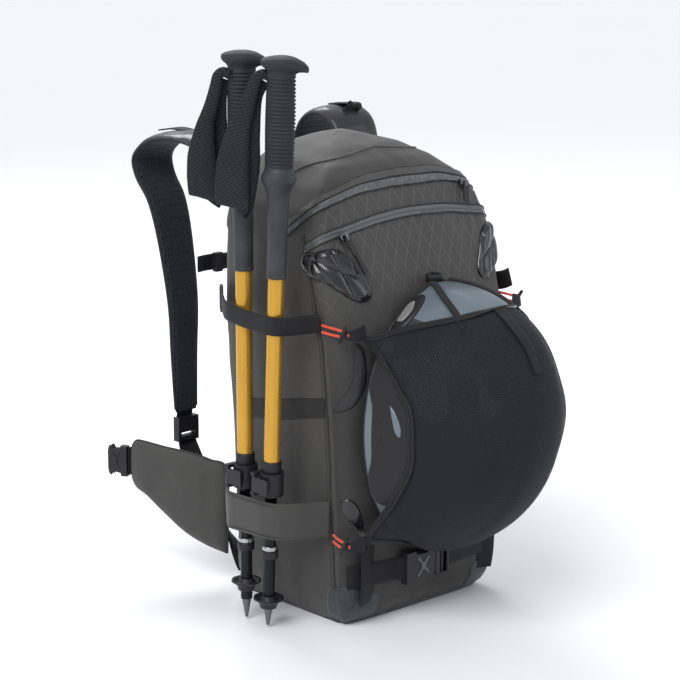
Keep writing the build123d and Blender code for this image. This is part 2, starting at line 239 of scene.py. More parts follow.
def mottled(s, color, grain, wear, shades, rough, bump):
    """Fine grain in the height, and cloudy wear in the colour and the gloss.

    wear is a cloud, its lowest and highest value in use, and shades are the colour's factors there;
    rough is the plain roughness with what wear takes off and adds, and bump a depth and strength."""
    cloud, low, high = wear
    plain, less, more = rough
    s.color(s.tint(s.span(cloud, 0.3, high), shade(color, shades[0]), shade(color, shades[1])))
    s.rough(s.span(cloud, low, 1 - low, plain - less, plain + more))
    s.bump(grain, *bump)
    return s.material


def plastic(name, color, rough=0.42):
    """Moulded plastic with a light spark-eroded grain and rubbed patches."""
    s = Shader(name, color, rough, Specular_IOR_Level=0.35)
    return mottled(s, color, s.clouds(0.0006, 2), (s.clouds(0.02, 4), 0.25, 0.7), (0.8, 1.3),
                   (rough, 0.08, 0.14), (0.0001, 0.4))


def rubber(name, color, rough=0.66):
    """Soft matt rubber or foam."""
    s = Shader(name, color, rough, Specular_IOR_Level=0.3)
    return mottled(s, color, s.clouds(0.0012, 3), (s.clouds(0.03, 5), 0.25, 0.72), (0.75, 1.45),
                   (rough, 0.1, 0.1), (0.00015, 0.5))


def paint(name, color, rough=0.36):
    """Painted hard shell under a thin clear coat."""
    s = Shader(name, color, rough, Coat_Weight=0.25, Coat_Roughness=0.3)
    return mottled(s, color, s.clouds(0.0009, 2), (s.clouds(0.03, 5), 0.3, 0.7), (0.93, 1.05),
                   (rough, 0.05, 0.1), (0.00006, 0.4))


def anodised(name, color, rough=0.3, metal=1.0):
    """Drawn tube: faint lengthwise lines under a coloured oxide layer."""
    s = Shader(name, color, rough, metal, Coat_Weight=0.15, Coat_Roughness=0.2)
    drawn = s.clouds(0.001, 3, s.place(scale=(1, 1, 0.02)))
    worn = s.clouds(0.04, 4)
    s.color(s.tint(s.span(drawn, 0.3, 0.7), shade(color, 0.9), shade(color, 1.06)))
    s.rough(s.span(worn, 0.3, 0.7, rough - 0.05, rough + 0.07))
    s.bump(drawn, 0.00005, 0.4)
    return s.material


def cord_cover(name, color):
    """Braided cord cover."""
    s = Shader(name, color, 0.5, Sheen_Weight=0.2)
    place = s.place(turn=(0.6, 0.5, 0.4))
    braid = s.math("MULTIPLY", s.bands(place, 0.0011, "X"), s.bands(place, 0.0011, "Z"))
    s.color(s.tint(braid, shade(color, 0.7), shade(color, 1.15)))
    s.bump(braid, 0.0003, 0.7)
    return s.material


GRAPHITE = (0.0470, 0.0455, 0.0430)
SIDE = nylon("side_cloth", GRAPHITE)
FRONT = nylon("diamond_cloth", shade(GRAPHITE, 1.05), diamonds=True)
BASE = nylon("base_cloth", (0.030, 0.032, 0.036), rough=0.5)
FLAP = nylon("flap_cloth", shade(GRAPHITE, 1.25), rough=0.42)
DARK = nylon("dark_cloth", (0.006, 0.006, 0.007))
STRAP_CLOTH = coated("strap_cloth", (0.008, 0.008, 0.009), 0.55)
TAPE = coated("zip_tape_cloth", (0.052, 0.054, 0.058), 0.42)
GATHER = coated("gathered_tape", (0.066, 0.068, 0.072), 0.30)
EDGE_LIGHT = nylon("edge_cloth", (0.085, 0.082, 0.078))
QUILT = coated("quilt_cloth", (0.006, 0.006, 0.007), 0.20)
WEB = webbing("black_webbing", (0.011, 0.011, 0.0125))
WRIST = webbing("wrist_webbing", (0.0165, 0.017, 0.020), 0.0033, math.radians(33), 0.66)
MESH = air_mesh("spacer_mesh", (0.0115, 0.0125, 0.0165))
NET = open_net("helmet_mesh", (0.009, 0.0095, 0.0115))
CORD = cord_cover("red_cord", (0.86, 0.075, 0.03))
BUCKLE = plastic("buckle_plastic", (0.011, 0.011, 0.0125))
GREY_BUCKLE = plastic("grey_plastic", (0.085, 0.087, 0.090), 0.38)
RUBBER = rubber("grip_rubber", (0.021, 0.022, 0.026))
SMOOTH_RUBBER = rubber("sleeve_rubber", (0.034, 0.036, 0.040), 0.5)
GOLD = anodised("gold_tube", (0.58, 0.315, 0.035), 0.25, 0.62)
POLE_BLACK = anodised("black_tube", (0.02, 0.021, 0.023), 0.38)
ZIP_METAL = anodised("zip_metal", (0.10, 0.10, 0.105), 0.32)
TIP = anodised("tip_steel", (0.16, 0.16, 0.165), 0.3)
STEEL = anodised("bright_ring", (0.46, 0.46, 0.47), 0.28)
SHELL = paint("helmet_paint", (0.112, 0.140, 0.165))
LINER = rubber("liner_foam", (0.02, 0.02, 0.021), 0.8)
HEM = webbing("net_hem_cloth", (0.010, 0.010, 0.0115), 0.0016)
SHELL_SHADE = paint("helmet_paint_shaded", (0.018, 0.020, 0.023), 0.5)
STRETCH = coated("stretch_cloth", (0.0035, 0.0035, 0.004), 0.6)
EAR_CLOTH = nylon("ear_cloth", (0.010, 0.010, 0.011), rough=0.7)
VENT = plastic("vent_frame_plastic", (0.010, 0.010, 0.011), 0.35)
VENT_GLOSS = plastic("vent_window_plastic", (0.16, 0.155, 0.15), 0.12)
LABEL = coated("label_cloth", (0.30, 0.31, 0.32), 0.4)
THREAD = rubber("thread", (0.030, 0.030, 0.031), 0.6)
PIPING = rubber("seam_piping", (0.022, 0.021, 0.021), 0.55)
INNER = plastic("inner_sheet", (0.2, 0.2, 0.2))


# ---------------------------------------------------------------- geometry helpers
def piece(name, verts, faces, material, body, uvs=None):
    """Mesh object from points and faces, on a body unless it is None.

    material is one material or a list, and uvs hold one pair for each point."""
    mesh = bpy.data.meshes.new(name)
    mesh.from_pydata([tuple(v) for v in verts], [], [tuple(f) for f in faces])
    mesh.update()
    made = bpy.data.objects.new(name, mesh)
    bpy.context.scene.collection.objects.link(made)
    materials = material if isinstance(material, (list, tuple)) else [material]
    for one in materials:
        mesh.materials.append(one)
    if uvs is not None:
        layer = mesh.uv_layers.new(name="UVMap")
        corner = np.empty(len(mesh.loops), dtype=np.int32)
        mesh.loops.foreach_get("vertex_index", corner)
        layer.data.foreach_set("uv", np.asarray(uvs, dtype=np.float32)[corner].ravel())
    mesh.polygons.foreach_set("use_smooth", [True] * len(mesh.polygons))
    if body:
        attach(made, body)
    return made


def modify(made, kind, **settings):
    """Add a modifier with its settings."""
    modifier = made.modifiers.new(kind.lower(), kind)
    for key, value in settings.items():
        setattr(modifier, key, value)
    return modifier


def grid_faces(rows, columns, wrap=False):
    """Quads over a grid of points stored row by row; wrap closes each row."""
    faces = []
    for r in range(rows - 1):
        for c in range(columns if wrap else columns - 1):
            n = (c + 1) % columns
            faces.append((r * columns + c, r * columns + n, (r + 1) * columns + n,
                          (r + 1) * columns + c))
    return faces


def smooth_line(points, count):
    """Evenly spaced points on a smooth curve through given points."""
    points = np.asarray(points, float)
    if len(points) == 2:
        return np.linspace(points[0], points[1], count)
    ends = np.vstack([2 * points[0] - points[1], points, 2 * points[-1] - points[-2]])
    dense = []
    for a, b, c, d in zip(ends, ends[1:], ends[2:], ends[3:]):
        for t in np.linspace(0, 1, 24, endpoint=False):
            dense.append(0.5 * (2 * b + (c - a) * t + (2 * a - 5 * b + 4 * c - d) * t * t
                                + (3 * b - a - 3 * c + d) * t ** 3))
    dense.append(points[-1])
    return resample(dense, count)


def run_along(line):
    """Length of a line from its start to each of its points."""
    return np.r_[0, np.cumsum(np.linalg.norm(np.diff(line, axis=0), axis=1))]


def resample(points, count):
    """The same line with evenly spaced points."""
    points = np.asarray(points, float)
    run = run_along(points)
    at = np.linspace(0, run[-1], count)
    return np.stack([np.interp(at, run, points[:, k]) for k in range(points.shape[1])], 1)


def unit(vectors):
    vectors = np.asarray(vectors, float)
    return vectors / np.maximum(np.linalg.norm(vectors, axis=-1, keepdims=True), 1e-12)


def tangents(line):
    return unit(np.gradient(np.asarray(line, float), axis=0))


def spread(values, count):
    """One value or several, spread evenly over count samples."""
    values = np.atleast_1d(values)
    return np.interp(np.linspace(0, 1, count), np.linspace(0, 1, len(values)), values)


def end_caps(ring, count):
    """Faces that close both ends of a run of count rings."""
    return [tuple(range(ring))[::-1], tuple(range((count - 1) * ring, count * ring))]


def strap(name, middle, across, width, thick, material, body, count=60, crown=0.0):
    """Flat strap along a line.

    across is its width direction: one for the whole strap, one for each given point, or one for
    each of the count samples. width is one or several, and crown lifts the middle of the strap."""
    line = smooth_line(middle, count)
    widths = spread(width, count)
    side = np.asarray([tuple(a) for a in across] if np.ndim(across) == 2 else across, float)
    if side.ndim == 1:
        side = np.tile(side, (count, 1))
    elif len(side) != count:
        side = smooth_line(side, count)
    along = tangents(line)
    side = unit(side - along * (side * along).sum(1, keepdims=True))
    out = unit(np.cross(along, side))
    run = run_along(line)
    steps = [(-0.5, 0), (-0.485, 0.42), (-0.3, 0.5), (0, 0.5), (0.3, 0.5), (0.485, 0.42), (0.5, 0),
             (0.485, -0.42), (0.3, -0.5), (0, -0.5), (-0.3, -0.5), (-0.485, -0.42)]
    verts, uvs = [], []
    for k in range(count):
        for u, w in steps:
            bow = crown * (1 - (2 * u) ** 2)
            verts.append(line[k] + side[k] * u * widths[k] + out[k] * (w * thick + bow))
            uvs.append((u * widths[k], run[k]))
    faces = grid_faces(count, len(steps), wrap=True) + end_caps(len(steps), count)
    return piece(name, verts, faces, material, body, uvs)


def tube(name, points, radius, material, body, count=48, sides=10):
    """Round tube along a smooth line, with one radius or several spread along it."""
    line = smooth_line(points, count)
    radii = spread(radius, count)
    along = tangents(line)
    side = np.cross(along[0], (0.3, 0.2, 0.93))
    verts, uvs = [], []
    run = 0.0
    for k in range(count):
        side = side - along[k] * np.dot(side, along[k])
        side = side / np.linalg.norm(side)
        up = np.cross(along[k], side)
        run += 0 if k == 0 else np.linalg.norm(line[k] - line[k - 1])
        for j in range(sides):
            angle = 2 * math.pi * j / sides
            verts.append(line[k] + radii[k] * (side * math.cos(angle) + up * math.sin(angle)))
            uvs.append((angle * radii[k], run))
    faces = grid_faces(count, sides, wrap=True) + end_caps(sides, count)
    return piece(name, verts, faces, material, body, uvs)


def turned(name, profile, place, material, body, sides=48, squeeze=None):
    """Piece turned about its own Z from (radius, height) points, reshaped by squeeze, then placed."""
    verts = []
    for radius, height in profile:
        for j in range(sides):
            angle = 2 * math.pi * j / sides
            point = Vector((radius * math.cos(angle), radius * math.sin(angle), height))
            if squeeze:
                point = squeeze(point)
            verts.append(place @ point)
    faces = grid_faces(len(profile), sides, wrap=True) + end_caps(sides, len(profile))
    return piece(name, verts, faces, material, body)


def join(name, pieces):
    """One object from several with the same body."""
    bpy.ops.object.select_all(action="DESELECT")
    for one in pieces:
        one.select_set(True)
    bpy.context.view_layer.objects.active = pieces[0]
    bpy.ops.object.join()
    pieces[0].name = name
    return pieces[0]


def ripple(point, size, seed=0.0):
    """Smooth random value from -1 to 1 in space."""
    return noise.noise(Vector(point) / size + Vector((seed, seed * 1.7, seed * 0.6)))


# ---------------------------------------------------------------- the bag
# Each table is height against one measure of the bag's outline at that height.
HALF_WIDTH = [(0, .104), (.012, .112), (.03, .118), (.12, .1225), (.24, .128), (.34, .1335),
              (.40, .134), (.436, .1315), (.46, .1235), (.484, .104), (.504, .079), (.518, .048),
              (.526, .018), (.528, .002)]
SEAM_Y = [(0, -.074), (.02, -.081), (.13, -.083), (.205, -.081), (.26, -.078), (.328, -.076),
          (.37, -.066), (.402, -.058), (.436, -.048), (.484, -.030), (.504, -.014), (.518, .010),
          (.526, .034), (.528, .045)]
FRONT_Y = [(0, -.080), (.02, -.096), (.05, -.1035), (.09, -.1045), (.15, -.111), (.25, -.112),
           (.33, -.110), (.37, -.101), (.40, -.090), (.44, -.075), (.47, -.062), (.49, -.050),
           (.505, -.033), (.518, -.006), (.526, .028), (.528, .044)]
BACK_Y = [(0, .092), (.012, .100), (.04, .105), (.46, .105), (.485, .103), (.505, .096),
          (.518, .083), (.526, .062), (.528, .048)]
FRONT_COUNT, SIDE_COUNT, BACK_COUNT = 120, 44, 30
WALL_TOP, BAG_TOP = .43, .5279
PLEAT_LENGTH = 0.05


def at_height(table, z):
    """Value of a table at one height, on straight lines between its rows."""
    heights = [row[0] for row in table]
    values = [row[1] for row in table]
    return float(np.interp(z, heights, values))


def bag_ring(z):
    """Points around the bag at one height: front, right side, back, left side."""
    wide, seam = at_height(HALF_WIDTH, z), at_height(SEAM_Y, z)
    front, back = at_height(FRONT_Y, z), at_height(BACK_Y, z)
    seam_x = wide * 0.975
    angles = np.linspace(math.pi, 0, 400)
    bulge_x = seam_x * np.sign(np.cos(angles)) * np.abs(np.cos(angles)) ** (2 / 3.6)
    bulge_y = seam - (seam - front) * np.sin(angles) ** (2 / 2.3)
    front_line = resample(np.stack([bulge_x, bulge_y], 1), FRONT_COUNT + 1)
    middle = (seam + back) / 2
    first = np.linspace(0, 1, 60)
    side_x = seam_x + (wide - seam_x) * np.sin(first * math.pi / 2)
    side_y = seam + (middle - seam) * first
    turn = np.linspace(0, math.pi / 2, 200)
    corner_x = wide * np.cos(turn) ** (2 / 7.5)
    corner_y = middle + (back - middle) * np.sin(turn) ** (2 / 7.5)
    rear = np.stack([np.r_[side_x, corner_x[1:]], np.r_[side_y, corner_y[1:]]], 1)
    cut = int(len(rear) * 0.80)
    right = resample(rear[:cut], SIDE_COUNT + 1)
    half_back = resample(rear[cut - 1:], BACK_COUNT // 2 + 1)
    right_all = np.vstack([right, half_back[1:]])
    left_all = right_all[::-1] * (-1, 1)
    ring = np.vstack([front_line[:-1], right_all[:-1], left_all[:-1]])
    return np.column_stack([ring, np.full(len(ring), z)])


def bag_heights():
    """Heights of the rings: close at the base, even up the wall, and closer towards the top."""
    low = [0, .0015, .004, .008, .013]
    wall = list(np.linspace(.02, WALL_TOP, 83))
    dome = list(WALL_TOP + (BAG_TOP - WALL_TOP) * np.sin(np.linspace(0, math.pi / 2, 40)[1:]))
    return low + wall + dome


def arch(x, top, drop, power):
    """Height of an arch across the front at one x."""
    return top - drop * min(abs(x) / .131, 1.2) ** power


def upper_arch(x):
    return arch(x, .480, .048, 5)


def lower_arch(x):
    return arch(x, .4475, .028, 2.8)


def pleats(x, below, seed):
    """Gathers that hang under a zip band and fade out downwards."""
    if below < 0 or below > PLEAT_LENGTH:
        return 0.0
    lean = x + 0.12 * below * ripple((x, 0.5, 0.1), 0.04, seed + 5)
    fold = 1 - 2.2 * abs(ripple((lean, 0.4, 0.2), 0.0125, seed))
    strength = 0.55 + 0.9 * ripple((x, 0.9, 0.3), 0.045, seed + 7)
    return 0.0030 * fold * min(max(strength, 0.15), 1) * (1 - below / PLEAT_LENGTH) ** 1.4


def bag_relief(point, on_front):
    """How far the cloth stands out from the plain form at a point."""
    x, y, z = point
    out = 0.0022 * ripple(point, 0.085, 1.0) + 0.0010 * ripple(point, 0.035, 4.0)
    if on_front:
        out += pleats(x, upper_arch(x) - z, 2.0) + 0.8 * pleats(x, lower_arch(x) - z, 9.0)
        out += 0.0012 * ripple((x * 1.4, y, z * 0.5), 0.03, 11.0)
    elif z < WALL_TOP:
        pucker = math.exp(-(0.012 + abs(y - (-.08))) / 0.03)
        out += 0.0016 * pucker * ripple((x, y * 0.4, z), 0.016, 5.0)
        out += 0.0030 * ripple((x, y * 1.6, z * 0.35), 0.05, 8.0)
    return out if z > 0.004 else 0.0


def make_bag():
    """The closed bag: one lofted shell with a cloth for each panel."""
    heights = bag_heights()
    rings = [bag_ring(z) for z in heights]
    count = len(rings[0])
    points = np.vstack(rings)
    faces = grid_faces(len(rings), count, wrap=True)
    base_centre, top_centre = len(points), len(points) + 1
    points = np.vstack([points, [[0, .01, 0]], [[0, .045, .528]]])
    for c in range(count):
        n = (c + 1) % count
        faces.append((base_centre, n, c))
        last = (len(rings) - 1) * count
        faces.append((top_centre, last + c, last + n))
    bag = piece("bag_shell", points, faces, [SIDE, FRONT, BASE], "pack")
    normals = [v.normal.copy() for v in bag.data.vertices]
    for index, vertex in enumerate(bag.data.vertices):
        on_front = index % count <= FRONT_COUNT and index < base_centre
        vertex.co += normals[index] * bag_relief(vertex.co, on_front)
    for polygon in bag.data.polygons:
        x, _, z = polygon.center
        front_panel = polygon.vertices[0] % count < FRONT_COUNT and z < upper_arch(x) + .002
        polygon.material_index = 2 if z < 0.003 else 1 if front_panel else 0
    return bag


bag = make_bag()
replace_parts(bag, "main_bag", "front_pocket")


def surface_tree(mesh):
    return BVHTree.FromPolygons([v.co for v in mesh.vertices],
                                [p.vertices for p in mesh.polygons])


def ray_on(tree, start, direction, lift):
    """Point where a ray meets a surface, lifted off it towards the ray's start."""
    place, normal, _, _ = tree.ray_cast(Vector(start), Vector(direction))
    if place is None:
        place, normal, _, _ = tree.find_nearest(Vector(start))
    if normal.dot(Vector(direction)) > 0:
        normal = -normal
    return place + normal * lift


bag_tree = surface_tree(bag.data)


def on_bag(start, direction, lift):
    return np.array(ray_on(bag_tree, start, direction, lift))


def from_side(y, z, side, lift):
    return on_bag((side * 0.5, y, z), (-side, 0, 0), lift)


def around(angle, z, lift):
    """Point on the bag at a height and an angle in degrees from the front, + to the right."""
    a = math.radians(angle)
    way = Vector((math.sin(a), -math.cos(a), 0))
    return on_bag(Vector((0, .012, z)) + way * .5, -way, lift)


def shell_of(top, under, name, material, body, uvs=None, loop=False):
    """Closed thin piece from an upper grid of points and the grid under it."""
    rows, columns = top.shape[:2]
    count = rows * columns
    faces = grid_faces(rows, columns, wrap=loop)
    faces += [tuple(i + count for i in face[::-1]) for face in faces]
    last = (rows - 1) * columns
    for c in range(columns if loop else columns - 1):
        n = (c + 1) % columns
        faces.append((n, c, c + count, n + count))
        faces.append((last + c, last + n, last + n + count, last + c + count))
    if not loop:
        for r in range(rows - 1):
            a, b = r * columns, (r + 1) * columns
            faces.append((a, b, b + count, a + count))
            a, b = a + columns - 1, b + columns - 1
            faces.append((b, a, a + count, b + count))
    points = np.vstack([top.reshape(-1, 3), under.reshape(-1, 3)])
    if uvs is not None:
        uvs = np.vstack([uvs.reshape(-1, 2)] * 2)
    return piece(name, points, faces, material, body, uvs)


def band(name, upper, lower, material, lift=0.0012, relief=None, count=150, rows=10):
    """Thin band laid on the bag between two lines of (angle, height) points."""
    high, low = smooth_line(upper, count), smooth_line(lower, count)
    top, under, uvs = (np.zeros((rows + 1, count, k)) for k in (3, 3, 2))
    for c in range(count):
        for r in range(rows + 1):
            t = r / rows
            at = high[c] * (1 - t) + low[c] * t
            edge = min(t, 1 - t) * rows
            rise = lift * min(1, 0.35 + edge) + (relief(c / count, t) if relief else 0)
            top[r, c] = around(at[0], at[1], rise)
            under[r, c] = around(at[0], at[1], -0.0012)
    run = run_along(top[rows // 2])
    tall = np.linalg.norm(top[0] - top[-1], axis=1)
    for r in range(rows + 1):
        uvs[r, :, 0] = tall * (0.5 - r / rows)
        uvs[r, :, 1] = run
    return shell_of(top[::-1], under[::-1], name, material, "pack", uvs[::-1])


def closed_edge(outline, count):
    """Evenly spaced points on a smooth closed line through given points."""
    return smooth_line(np.asarray(list(outline) + [outline[0]], float), count + 1)[:-1]


def blob(name, outline, material, place, lift=0.001, relief=None, body="pack", rings=12,
         count=110, sink=0.0012):
    """Thin piece with any rounded outline, laid on a form by place(a, b, lift)."""
    edge = closed_edge(outline, count)
    middle = edge.mean(0)
    top, under, uvs = (np.zeros((rings + 1, count, k)) for k in (3, 3, 2))
    for r in range(rings + 1):
        t = 0.03 + 0.97 * r / rings
        for c in range(count):
            at = middle + (edge[c] - middle) * t
            rise = lift * (1 if r < rings - 1 else 0.75 if r < rings else 0.2)
            rise += relief(at[0], at[1], t) if relief else 0
            top[r, c] = place(at[0], at[1], rise)
            under[r, c] = place(at[0], at[1], -sink)
            uvs[r, c] = at
    return fresh_faces(shell_of(top, under, name, material, body, uvs, loop=True))


def line_on(name, points, radius, material, lift, count=120):
    """Thin round line laid on the bag, for seams and piping."""
    flat = smooth_line(points, count)
    return tube(name, [around(a, b, lift) for a, b in flat], radius, material, "pack", count, 6)


def fresh_faces(made):
    """Point all faces outwards."""
    work = bmesh.new()
    work.from_mesh(made.data)
    bmesh.ops.recalc_face_normals(work, faces=work.faces)
    work.to_mesh(made.data)
    work.free()
    return made


# ---------------------------------------------------------------- zips, seams and panels
FLAP_TOP = [(0, .4955), (25, .4945), (45, .4920), (60, .4810), (68, .4690), (78, .4520)]
FLAP_LOW = [(0, .4885), (25, .4875), (45, .4850), (60, .4740), (68, .4610), (78, .4430)]
GATHER_LOW = [(0, .4790), (25, .4785), (45, .4760), (60, .4650), (68, .4525), (78, .4330)]
POCKET_ZIP_TOP = [(0, .4565), (20, .4555), (36, .4530), (50, .4470), (58, .4415), (67, .4280)]
POCKET_ZIP_LOW = [(0, .4470), (20, .4460), (36, .4435), (50, .4375), (58, .4320), (67, .4180)]


def both_ways(half):
    """A whole line from its right half, which starts in the middle."""
    return [(-a, z) for a, z in half[:0:-1]] + half


def mirrored(outline, side):
    """An outline that was set on the left, on either side."""
    return [(-side * a, b) for a, b in outline]


def crinkle(u, t):
    """Gathers of the shiny tape under the storm flap."""
    return 0.0016 * ripple((u * 0.42, t * 0.006, 0), 0.0055, 3.0) * math.sin(math.pi * t)


def zip_groove(_, t):
    """Shallow groove where the teeth of the pocket's zip lie."""
    return -0.0009 if abs(t - 0.55) < 0.06 else 0.0


flap = band("storm_flap", both_ways(FLAP_TOP), both_ways(FLAP_LOW), FLAP, 0.0024)
gather = band("main_zip_tape", both_ways(FLAP_LOW), both_ways(GATHER_LOW), GATHER, 0.0014,
              crinkle, count=320)
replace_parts(flap, "main_zip")
pocket_zip = band("pocket_zip_tape", both_ways(POCKET_ZIP_TOP), both_ways(POCKET_ZIP_LOW), TAPE,
                  0.0014, zip_groove, rows=18)
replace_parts(pocket_zip, "front_zip")

seams = []
for name, line, radius in (("flap_edge", FLAP_TOP, .0009), ("flap_hem", FLAP_LOW, .0006),
                           ("gather_edge", GATHER_LOW, .0007),
                           ("pocket_zip_edge", POCKET_ZIP_TOP, .0008),
                           ("pocket_zip_hem", POCKET_ZIP_LOW, .0005)):
    seams.append(line_on(name, both_ways(line), radius, PIPING, 0.0016, 170))


def seam_line(side, back, lift):
    """Points up the side of the bag, a little behind the edge of its front."""
    return [from_side(at_height(SEAM_Y, z) + back, z, side, lift)
            for z in np.linspace(.012, .437, 90)]


for side, word in SIDES:
    for name, back, lift, radius, material, sides in (("seam", .007, .0003, .0013, PIPING, 8),
                                                      ("stitch", .012, .0001, .0004, THREAD, 5)):
        seams.append(tube(f"side_{name}_{word}", seam_line(side, back, lift), radius, material,
                          "pack", 120, sides))
TOP_SEAM = [(-98, .490), (-90, .500), (-75, .507), (-45, .514), (0, .5165), (45, .514),
            (75, .507), (90, .500), (98, .490)]
seams.append(line_on("top_seam", TOP_SEAM, .0012, EDGE_LIGHT, 0.0002))
join("bag_seams", seams)

QUILT_OUTLINE = [(-.146, .4080), (-.142, .4190), (-.127, .4250), (-.111, .4230), (-.098, .411),
                 (-.0885, .397), (-.0805, .381), (-.0815, .372), (-.090, .3675), (-.102, .3700),
                 (-.1140, .3775), (-.1300, .3890), (-.1430, .397)]


def corner_place(x, z, lift):
    """Lays a point on the rounded front corner; x holds at y = -.085."""
    return on_bag((x * 1.73, -.45, z), (-x * .73, .365, 0), lift)


def quilting(x, z, t):
    """Puffed cells between lines of stitching."""
    along, over = (x * .45 + z * .95) / .0300, (x * 1.10 + z * .42) / .0215
    cell = abs(math.sin(along * math.pi) * math.sin(over * math.pi)) ** 0.38
    return 0.0042 * cell * min(1, (1 - t) * 5)


for side, word in SIDES:
    quilt = blob(f"quilted_panel_{word}", mirrored(QUILT_OUTLINE, side), QUILT, corner_place, 0.002,
                 lambda x, z, t, k=side: quilting(-k * x, z, t), rings=34, count=200)
    if side < 0:
        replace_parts(quilt, "quilted_panels")

CRESCENT = [(-.110, .331), (-.0990, .322), (-.0945, .305), (-.0945, .286), (-.0990, .270),
            (-.1080, .256), (-.1250, .2485), (-.1225, .258), (-.1140, .275), (-.1090, .290),
            (-.1090, .315)]
GUSSET = [(-.120, .150), (-.112, .1525), (-.102, .142), (-.094, .120), (-.089, .100),
          (-.097, .106), (-.108, .122), (-.118, .138)]
BAND_TOP = [(-57, .2620), (-80, .2510), (-100, .2430), (-112, .2390)]
BAND_LOW = [(-57, .2400), (-80, .2270), (-100, .2200), (-112, .2160)]
FOOT = [(-33, .034), (-42, .046), (-50, .049), (-56, .044), (-58, .026), (-56, .009), (-44, .006),
        (-35, .010)]
for side, word in SIDES:
    patch = blob(f"stretch_panel_{word}", mirrored(CRESCENT, side), STRETCH, corner_place, 0.0012)
    gusset = blob(f"net_gusset_{word}", mirrored(GUSSET, side), QUILT, corner_place, 0.0016)
    side_band = band(f"side_band_{word}", mirrored(BAND_TOP, side), mirrored(BAND_LOW, side), DARK,
                     0.0014, count=60)
    fresh_faces(side_band)
    scuff = blob(f"foot_patch_{word}", mirrored(FOOT, side), BASE, around, 0.0014)


# ---------------------------------------------------------------- side straps and loops
SIDE_STRAP = [(-.1338, .094), (-.149, .074), (-.166, .052), (-.1795, .030), (-.1815, .008),
              (-.1812, -.018), (-.1806, -.040), (-.1755, -.053), (-.160, -.061),
              (-.1450, -.066), (-.1345, -.071)]
SIDE_STRAP_Z = .350
left_strap = strap("side_strap_poles", [(x, y, SIDE_STRAP_Z + .004 * math.sin((y - .02) * 24))
                                        for x, y in SIDE_STRAP],
                   UP, .0205, .0020, WEB, "pack", 150)
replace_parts(left_strap, "side_strap_left")
flat_run = [from_side(y, SIDE_STRAP_Z, 1, .0014) for y in np.linspace(.092, -.052, 14)]
right_strap = strap("side_strap_flat", flat_run, UP, .0205, .0020, WEB, "pack", 100)
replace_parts(right_strap, "side_strap_right")
tail_line = [from_side(-.030, .351, 1, .0044), from_side(-.056, .352, 1, .0058),
             from_side(-.066, .354, 1, .0075), (.1400, -.0790, .357), (.1395, -.0900, .362)]
tail = strap("side_strap_tail", tail_line, (.08, .1, 1), .021, .0019, WEB, "pack", 60)


def rounded(value, power, size):
    """From a sine or cosine, one coordinate of a rounded rectangle that is size across."""
    return math.copysign(abs(value) ** power, value) * size / 2


def ladder(name, centre, along, out):
    """Moulded webbing buckle on the bag: a rounded frame with two cross bars."""
    wide, tall, thick = .0265, .020, .0042
    along, out = unit(along), unit(out)
    cross = np.cross(out, along)
    centre = np.asarray(centre, float)
    frame_line = [centre + along * rounded(math.cos(t), .45, tall)
                  + cross * rounded(math.sin(t), .45, wide)
                  for t in np.linspace(0, 2 * math.pi, 33)]
    parts = [tube(name, frame_line, thick / 2, BUCKLE, "pack", 72, 8)]
    for shift in (-.25, .25):
        at = centre + along * tall * shift * .62
        parts.append(tube(name + "_bar", [at - cross * wide * .48, at + out * .0006,
                                          at + cross * wide * .48], thick * .42, BUCKLE, "pack",
                          16, 8))
    join(name, parts)


ladder("side_ladder_left", (-.1400, .086, SIDE_STRAP_Z), (-.62, -.80, 0), (-.8, .6, 0))
ladder("side_ladder_right", from_side(.078, SIDE_STRAP_Z, 1, .0032), (0, -1, 0), ACROSS)

SKI_LOOP = [(-.1245, .0965), (-.134, .088), (-.150, .067), (-.168, .046), (-.1808, .028),
            (-.1835, .008), (-.1836, -.014), (-.1828, -.034), (-.1770, -.049), (-.160, -.060),
            (-.142, -.068), (-.1262, -.0765)]


def ski_height(y):
    """Height of the left loop's middle, highest beside the front pole."""
    return .1255 + .0035 * math.cos((y + .03) * 20)


ski = strap("ski_loop_poles", [(x, y, ski_height(y)) for x, y in SKI_LOOP], UP,
            (.046, .045, .043, .042, .041, .040), .0026, SIDE, "pack", 150)
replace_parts(ski, "ski_loop_left")
for edge, word in ((-1, "low"), (1, "high")):
    hem = [(x * 1.0085, y, ski_height(y) + edge * (.0178 + .002 * (y > .02)))
           for x, y in SKI_LOOP]
    tube(f"ski_loop_stitch_{word}", hem, .0005, THREAD, "pack", 140, 5)
flat_ski = strap("ski_loop_flat", [from_side(y, .121, 1, .0016)
                                   for y in np.linspace(.094, -.072, 14)],
                 UP, .037, .0024, SIDE, "pack", 100)
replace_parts(flat_ski, "ski_loop_right")


# ---------------------------------------------------------------- trekking poles
# Turns a pole's x axis to the front right: the heads hook that way, and the wrist straps hang on
# the other side.
HEAD_TURN = Matrix.Rotation(math.radians(-42.5), 4, "Z")
POLES = {"rear": Matrix.Translation((-.170, .012, .003)),
         "front": Matrix.Translation((-.170, -.024, .003))
         @ Matrix.Rotation(math.radians(2.6), 4, "X")}
SLEEVE = [(.0088, .394), (.0104, .395), (.0107, .398), (.0108, .440), (.0112, .470),
          (.0122, .486), (.0150, .4935), (.0180, .4985), (.0186, .5020), (.0182, .5045),
          (.0160, .5095), (.0149, .5150)]


